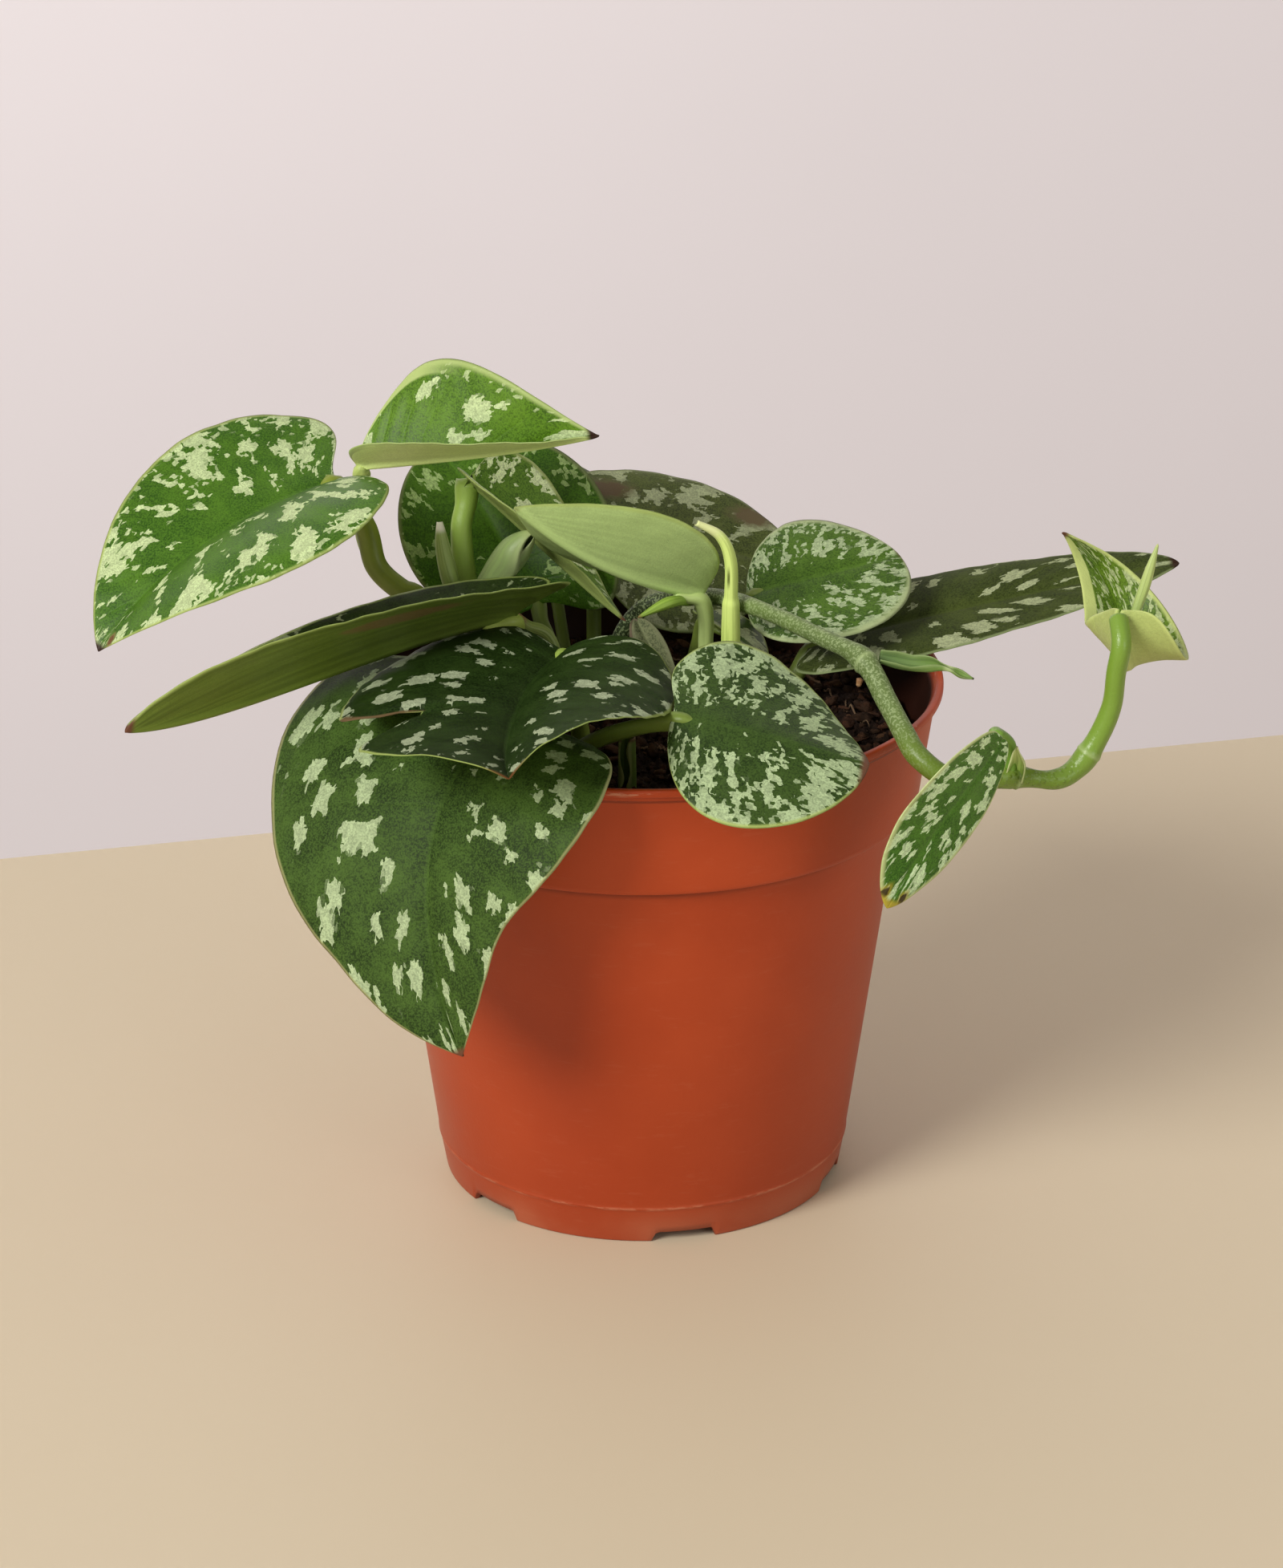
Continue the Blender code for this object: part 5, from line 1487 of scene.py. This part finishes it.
# %% Drill the drain holes
drills = bmesh.new()
for i in range(DRAIN_COUNT):
    made = bmesh.ops.create_cone(drills, cap_ends=True, segments=32, radius1=DRAIN_HOLE_RADIUS * MM,
                                 radius2=DRAIN_HOLE_RADIUS * MM, depth=6 * MM)
    angle = first_notch + i * notch_gap
    place = Vector((math.cos(angle), math.sin(angle), 0)) * DRAIN_HOLE_CIRCLE
    place.z = FLOOR_LIFT + 0.6
    bmesh.ops.translate(drills, vec=place * MM, verts=made["verts"])
drill_mesh = bpy.data.meshes.new("drain_drills")
drills.to_mesh(drill_mesh)
drills.free()
drill_piece = new_object("drain_drills", drill_mesh)
boolean = pot.modifiers.new("drain_holes", "BOOLEAN")
boolean.operation = "DIFFERENCE"
boolean.solver = "EXACT"
boolean.object = drill_piece
drilled = bpy.data.meshes.new_from_object(pot.evaluated_get(bpy.context.evaluated_depsgraph_get()))
pot.modifiers.clear()
pot.data = drilled
bpy.data.objects.remove(drill_piece)
print("pot:", len(pot.data.polygons), "faces,", DRAIN_COUNT, "notches and holes")


# %% Pot finish
def pot_material():
    """Satin terracotta plastic: faint clouds, fine grain, pale scuffs on the lip and a dusty foot, with
    painted shade low down, under the band and under the lip, and painted shade with peat stain on the inner
    wall.
    """
    material, tree = new_material("terracotta_plastic", 0.42, IOR=1.46, Specular_IOR_Level=0.35)
    place = object_place(tree)
    height = make("SeparateXYZ", place)[2]
    cloud = noise(place, 26.0, 4.0)
    fine = noise(place, 1500.0, 2.0)
    colour = blend(fade(cloud, 0.35, 0.68), (0.39, 0.047, 0.008, 1), (0.45, 0.06, 0.012, 1))
    # Painted shade: the colour darkens towards the foot, where less light reaches the pot.
    shade_toward_foot = fade(height, -20 * MM, 95 * MM, 0.58, 0.0)
    colour = blend(shade_toward_foot, colour, (0.22, 0.026, 0.005, 1))
    # Painted shade: a dark line just under the band's ledge and another just under the lip, where the
    # overhangs shade the wall.
    body_top = BAND_FOOT_HEIGHT * MM
    shade_below_band = fade(height, body_top - 2.4 * MM, body_top - 0.5 * MM, 0.0, 0.75)
    shade_below_band = shade_below_band * fade(height, body_top - 0.1 * MM, body_top + 0.1 * MM, 1.0, 0.0)
    lip_foot = (POT_HEIGHT - LIP_HEIGHT - 1.15) * MM
    shade_below_lip = fade(abs(height - lip_foot), 0.15 * MM, 0.45 * MM, 0.55, 0.0)
    colour = blend(maths("MAXIMUM", shade_below_band, shade_below_lip), colour, (0.1, 0.014, 0.004, 1))
    scratch = noise(stretch(place, (160.0, 160.0, 900.0)), 1.0, 5.0, Roughness=0.7)
    at_lip = fade(height, (POT_HEIGHT - 1.7) * MM, (POT_HEIGHT - 0.3) * MM)
    scuff = fade(scratch, 0.56, 0.68) * (at_lip + 0.05)
    colour = blend(scuff * 0.6, colour, (0.66, 0.33, 0.2, 1))
    at_foot = fade(height, 1 * MM, 9 * MM, 1.0, 0.0)
    dust = at_foot * fade(cloud, 0.4, 0.6, 0.05, 0.3)
    colour = blend(dust, colour, (0.46, 0.2, 0.11, 1))
    at_seam = fade(abs(height - SEAM_HEIGHT * MM), 0.0, 0.5 * MM, 0.35, 0.0)
    colour = blend(at_seam * fade(scratch, 0.45, 0.6), colour, (0.62, 0.3, 0.17, 1))
    # Painted shade, partly peat stain: the inner wall is painted near-black up to just under the lip.
    inside = point_value(tree, "inside")
    shade_and_peat_inside = inside * fade(height, 93.4 * MM, 94.9 * MM, 0.97, 0.2)
    colour = blend(shade_and_peat_inside, colour, (0.02, 0.008, 0.005, 1))
    rough = fade(cloud, 0.3, 0.7, 0.38, 0.48) + scuff * 0.25
    bump = fine * 0.5 + scuff * 0.8
    return finish_with(material, colour, rough, bump, distance=0.00006, strength=0.7)


settle(pot, ["pot"], pot_material())

# %% [markdown]
# ## Potting mix
#
# Peat is not a smooth disc.  Its surface has lumps and hollows, and on it lie crumbs, bark chips and a
# few root threads.  The plug is one turned sheet whose top follows a height formula.  The crumbs are one
# piece: a small rough ball, copied many times in one array with a size, a squash and a turn for each.

# %% The plug and its surface
SOIL_TOP = 84.0
PLUG_RADIUS = 49.0
TOP_ROWS = 110              # rows of the plug's sheet that lie on the open surface
PLUG_STEPS = 240


def soil_height(x, y):
    """Height of the mix in millimetres: two long waves and four rough ones."""
    long_wave = 0.7 * (np.sin(0.21 * x + 0.6) * np.cos(0.17 * y - 0.4) + 0.5 * np.sin(0.43 * y + 0.29 * x))
    place = np.stack([x, y], -1)
    return SOIL_TOP + 0.6 * long_wave + 1.3 * waves(place, (9.0, 4.1), 6) + 1.0 * waves(place, (2.1, 1.3), 9)


plug_profile = np.vstack([
    np.stack([np.linspace(0, PLUG_RADIUS, TOP_ROWS), np.full(TOP_ROWS, SOIL_TOP)], -1),
    [(BODY_TOP_RADIUS - WALL - 0.5, BAND_FOOT_HEIGHT - 1), (SEAM_RADIUS - WALL - 0.5, SEAM_HEIGHT + 1),
     (SEAM_RADIUS - WALL - 3, FLOOR_LIFT + 1.7), (0, FLOOR_LIFT + 1.7)],
])
plug_sheet = turned_sheet(plug_profile, PLUG_STEPS)[0]
plug_sheet[:TOP_ROWS, :, 2] = soil_height(plug_sheet[:TOP_ROWS, :, 0], plug_sheet[:TOP_ROWS, :, 1])
plug = surface("mix_plug", plug_sheet)


def mix_material(name, low, high):
    """Very dark brown with reddish flecks; a point value called tone picks lighter crumbs."""
    material, tree = new_material(name, 0.9, Specular_IOR_Level=0.1)
    tone = point_value(tree, "tone")
    place = object_place(tree)
    fine = noise(place, 900.0, 4.0)
    broad = noise(place, 260.0, 3.0)
    colour = blend(fade(fine, 0.35, 0.7), rgba(low), rgba(low, 2.3))
    colour = blend(fade(broad, 0.52, 0.72, 0.0, 0.6), colour, (0.085, 0.032, 0.014, 1))
    colour = blend(tone, colour, rgba(high))
    height = fine + broad
    return finish_with(material, colour, None, height, distance=0.0009, strength=1.0)


SOIL_DARK = (0.012, 0.007, 0.005)
settle(plug, ["potting_soil"], mix_material("mix_plug", SOIL_DARK, SOIL_DARK))


# %% Crumbs and chips
def ball_sheets(middles, sizes, turns, rows=6, columns=8, rough=0.18, seed=1):
    """Many rough balls at once, as an array of count x rows x columns x 3.

    A ball is (sin a cos b, sin a sin b, cos a), made rough by a random factor at every point, squashed to
    its three sizes, turned by its own rotation, and moved to its middle.
    """
    generator = np.random.default_rng(seed)
    a = np.linspace(0, np.pi, rows)[:, None]
    b = np.linspace(0, 2 * np.pi, columns, endpoint=False)[None, :]
    ball = np.stack(np.broadcast_arrays(np.sin(a) * np.cos(b), np.sin(a) * np.sin(b), np.cos(a)), -1)
    factor = 1 + rough * generator.uniform(-1, 1, (len(middles), rows, columns))
    factor[:, 0] = factor[:, 0, :1]
    factor[:, -1] = factor[:, -1, :1]
    shaped = ball * factor[..., None] * sizes[:, None, None, :]
    return np.einsum("nij,nrcj->nrci", turns, shaped) + middles[:, None, None, :]


def random_turns(generator, count, tilt=0.6):
    """Rotation matrices with any turn about Z and a small tilt, from random columns made square."""
    spin = generator.uniform(0, 2 * np.pi, count)
    ahead = unit(np.stack([np.cos(spin), np.sin(spin), tilt * generator.uniform(-1, 1, count)], -1))
    up = np.stack([tilt * generator.uniform(-1, 1, count), tilt * generator.uniform(-1, 1, count),
                   np.ones(count)], -1)
    left = unit(np.cross(up, ahead))
    return np.stack([ahead, left, np.cross(ahead, left)], -1)


def many_piece(name, sheets, tone):
    """One piece from many closed sheets of the same size, with one tone value for each sheet."""
    count, rows, columns = sheets.shape[:3]
    first_points = (np.arange(count) * rows * columns)[:, None, None]
    quads = (sheet_quads(rows, columns, ring=True) + first_points).reshape(-1, 4)
    points = sheets.reshape(-1, 3) * MM
    if signed_volume(points, quads) < 0:
        quads = quads[:, ::-1]
    return piece_from(mesh_from(name, points, quads, values={"tone": np.repeat(tone, rows * columns)}))


def scatter(count, reach):
    """Places spread evenly over a round patch of the mix: the distance out is reach * sqrt(random)."""
    spread = reach * np.sqrt(generator.uniform(0, 1, count))
    spin = generator.uniform(0, 2 * np.pi, count)
    return spread * np.cos(spin), spread * np.sin(spin)


generator = np.random.default_rng(12)
CRUMBS = 2600
x, y = scatter(CRUMBS, PLUG_RADIUS * 0.985)
grain_size = 0.3 + 1.25 * generator.uniform(0, 1, CRUMBS) ** 3.2
sizes = grain_size[:, None] * generator.uniform((0.8, 0.6, 0.4), (1.5, 1.1, 0.9), (CRUMBS, 3))
middles = np.stack([x, y, soil_height(x, y) + 0.25 * grain_size], -1)
tone = np.where(generator.uniform(size=CRUMBS) > 0.93, generator.uniform(0.3, 0.9, CRUMBS),
                generator.uniform(0, 0.16, CRUMBS))
crumbs = many_piece("mix_crumbs", ball_sheets(middles, sizes, random_turns(generator, CRUMBS)), tone)
settle(crumbs, ["potting_soil"],
       mix_material("mix_crumbs", (0.014, 0.008, 0.005), (0.11, 0.055, 0.028)))

CHIPS = 120
x, y = scatter(CHIPS, PLUG_RADIUS * 0.95)
chip_length = generator.uniform(1.6, 4.2, CHIPS)
sizes = chip_length[:, None] * generator.uniform((0.9, 0.22, 0.08), (1.0, 0.42, 0.18), (CHIPS, 3))
middles = np.stack([x, y, soil_height(x, y) + 0.5], -1)
tone = generator.uniform(0.0, 0.4, CHIPS)
chip_sheets = ball_sheets(middles, sizes, random_turns(generator, CHIPS, 0.3), 8, 8, 0.22, 3)
chips = many_piece("bark_chips", chip_sheets, tone)
settle(chips, ["potting_soil"],
       mix_material("bark_chips", (0.02, 0.01, 0.006), (0.12, 0.05, 0.025)))

# %% Root threads
THREADS = 42
THREAD_POINTS = 26
spin = generator.uniform(0, 2 * np.pi, THREADS)
spread = PLUG_RADIUS * generator.uniform(0.2, 0.9, THREADS)
heading = generator.uniform(0, 2 * np.pi, THREADS)
bends = np.cumsum(generator.normal(0, 0.2, (THREADS, THREAD_POINTS)), axis=1)
step = generator.uniform(0.35, 0.75, THREADS)[:, None]
x = (spread * np.cos(spin))[:, None] + np.cumsum(step * np.cos(heading[:, None] + bends), axis=1)
y = (spread * np.sin(spin))[:, None] + np.cumsum(step * np.sin(heading[:, None] + bends), axis=1)
outside = np.maximum(1, np.hypot(x, y) / (PLUG_RADIUS - 1))
x, y = x / outside, y / outside
along = np.linspace(0, 1, THREAD_POINTS)[None]
lift = 0.55 + 0.5 * np.sin(2 * np.pi * along) * generator.uniform(0, 1, THREADS)[:, None]
thread_paths = np.stack([x, y, soil_height(x, y) + lift], -1)
ahead = unit(np.gradient(thread_paths, axis=1))
side = unit(np.cross(ahead, (0, 0, 1.0)))
around = np.linspace(0, 2 * np.pi, 6, endpoint=False)
thin = generator.uniform(0.12, 0.34, THREADS)[:, None] * np.sin(np.pi * along) ** 0.3
ring = (np.cos(around)[:, None] * side[:, :, None]
        + np.sin(around)[:, None] * np.cross(side, ahead)[:, :, None])
threads = many_piece("root_threads", thread_paths[:, :, None] + thin[:, :, None, None] * ring,
                     generator.uniform(0.3, 1.0, THREADS))
settle(threads, ["potting_soil"],
       mix_material("root_threads", (0.05, 0.025, 0.015), (0.17, 0.11, 0.065)))
print("crumbs:", CRUMBS, "chips:", CHIPS, "threads:", THREADS)

# %% [markdown]
# ## The finished size
#
# The finished model is measured once more, and both boxes are kept side by side in a table; the finished
# size is printed.

# %% Measure the finished model
finished_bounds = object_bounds()
sizes = {"solids": [[float(value) for value in corner] for corner in solid_bounds],
         "finished": [[float(value) for value in corner] for corner in finished_bounds]}
print("finished model:", [round((high - low) / MM, 1) for low, high in zip(*finished_bounds)], "mm")
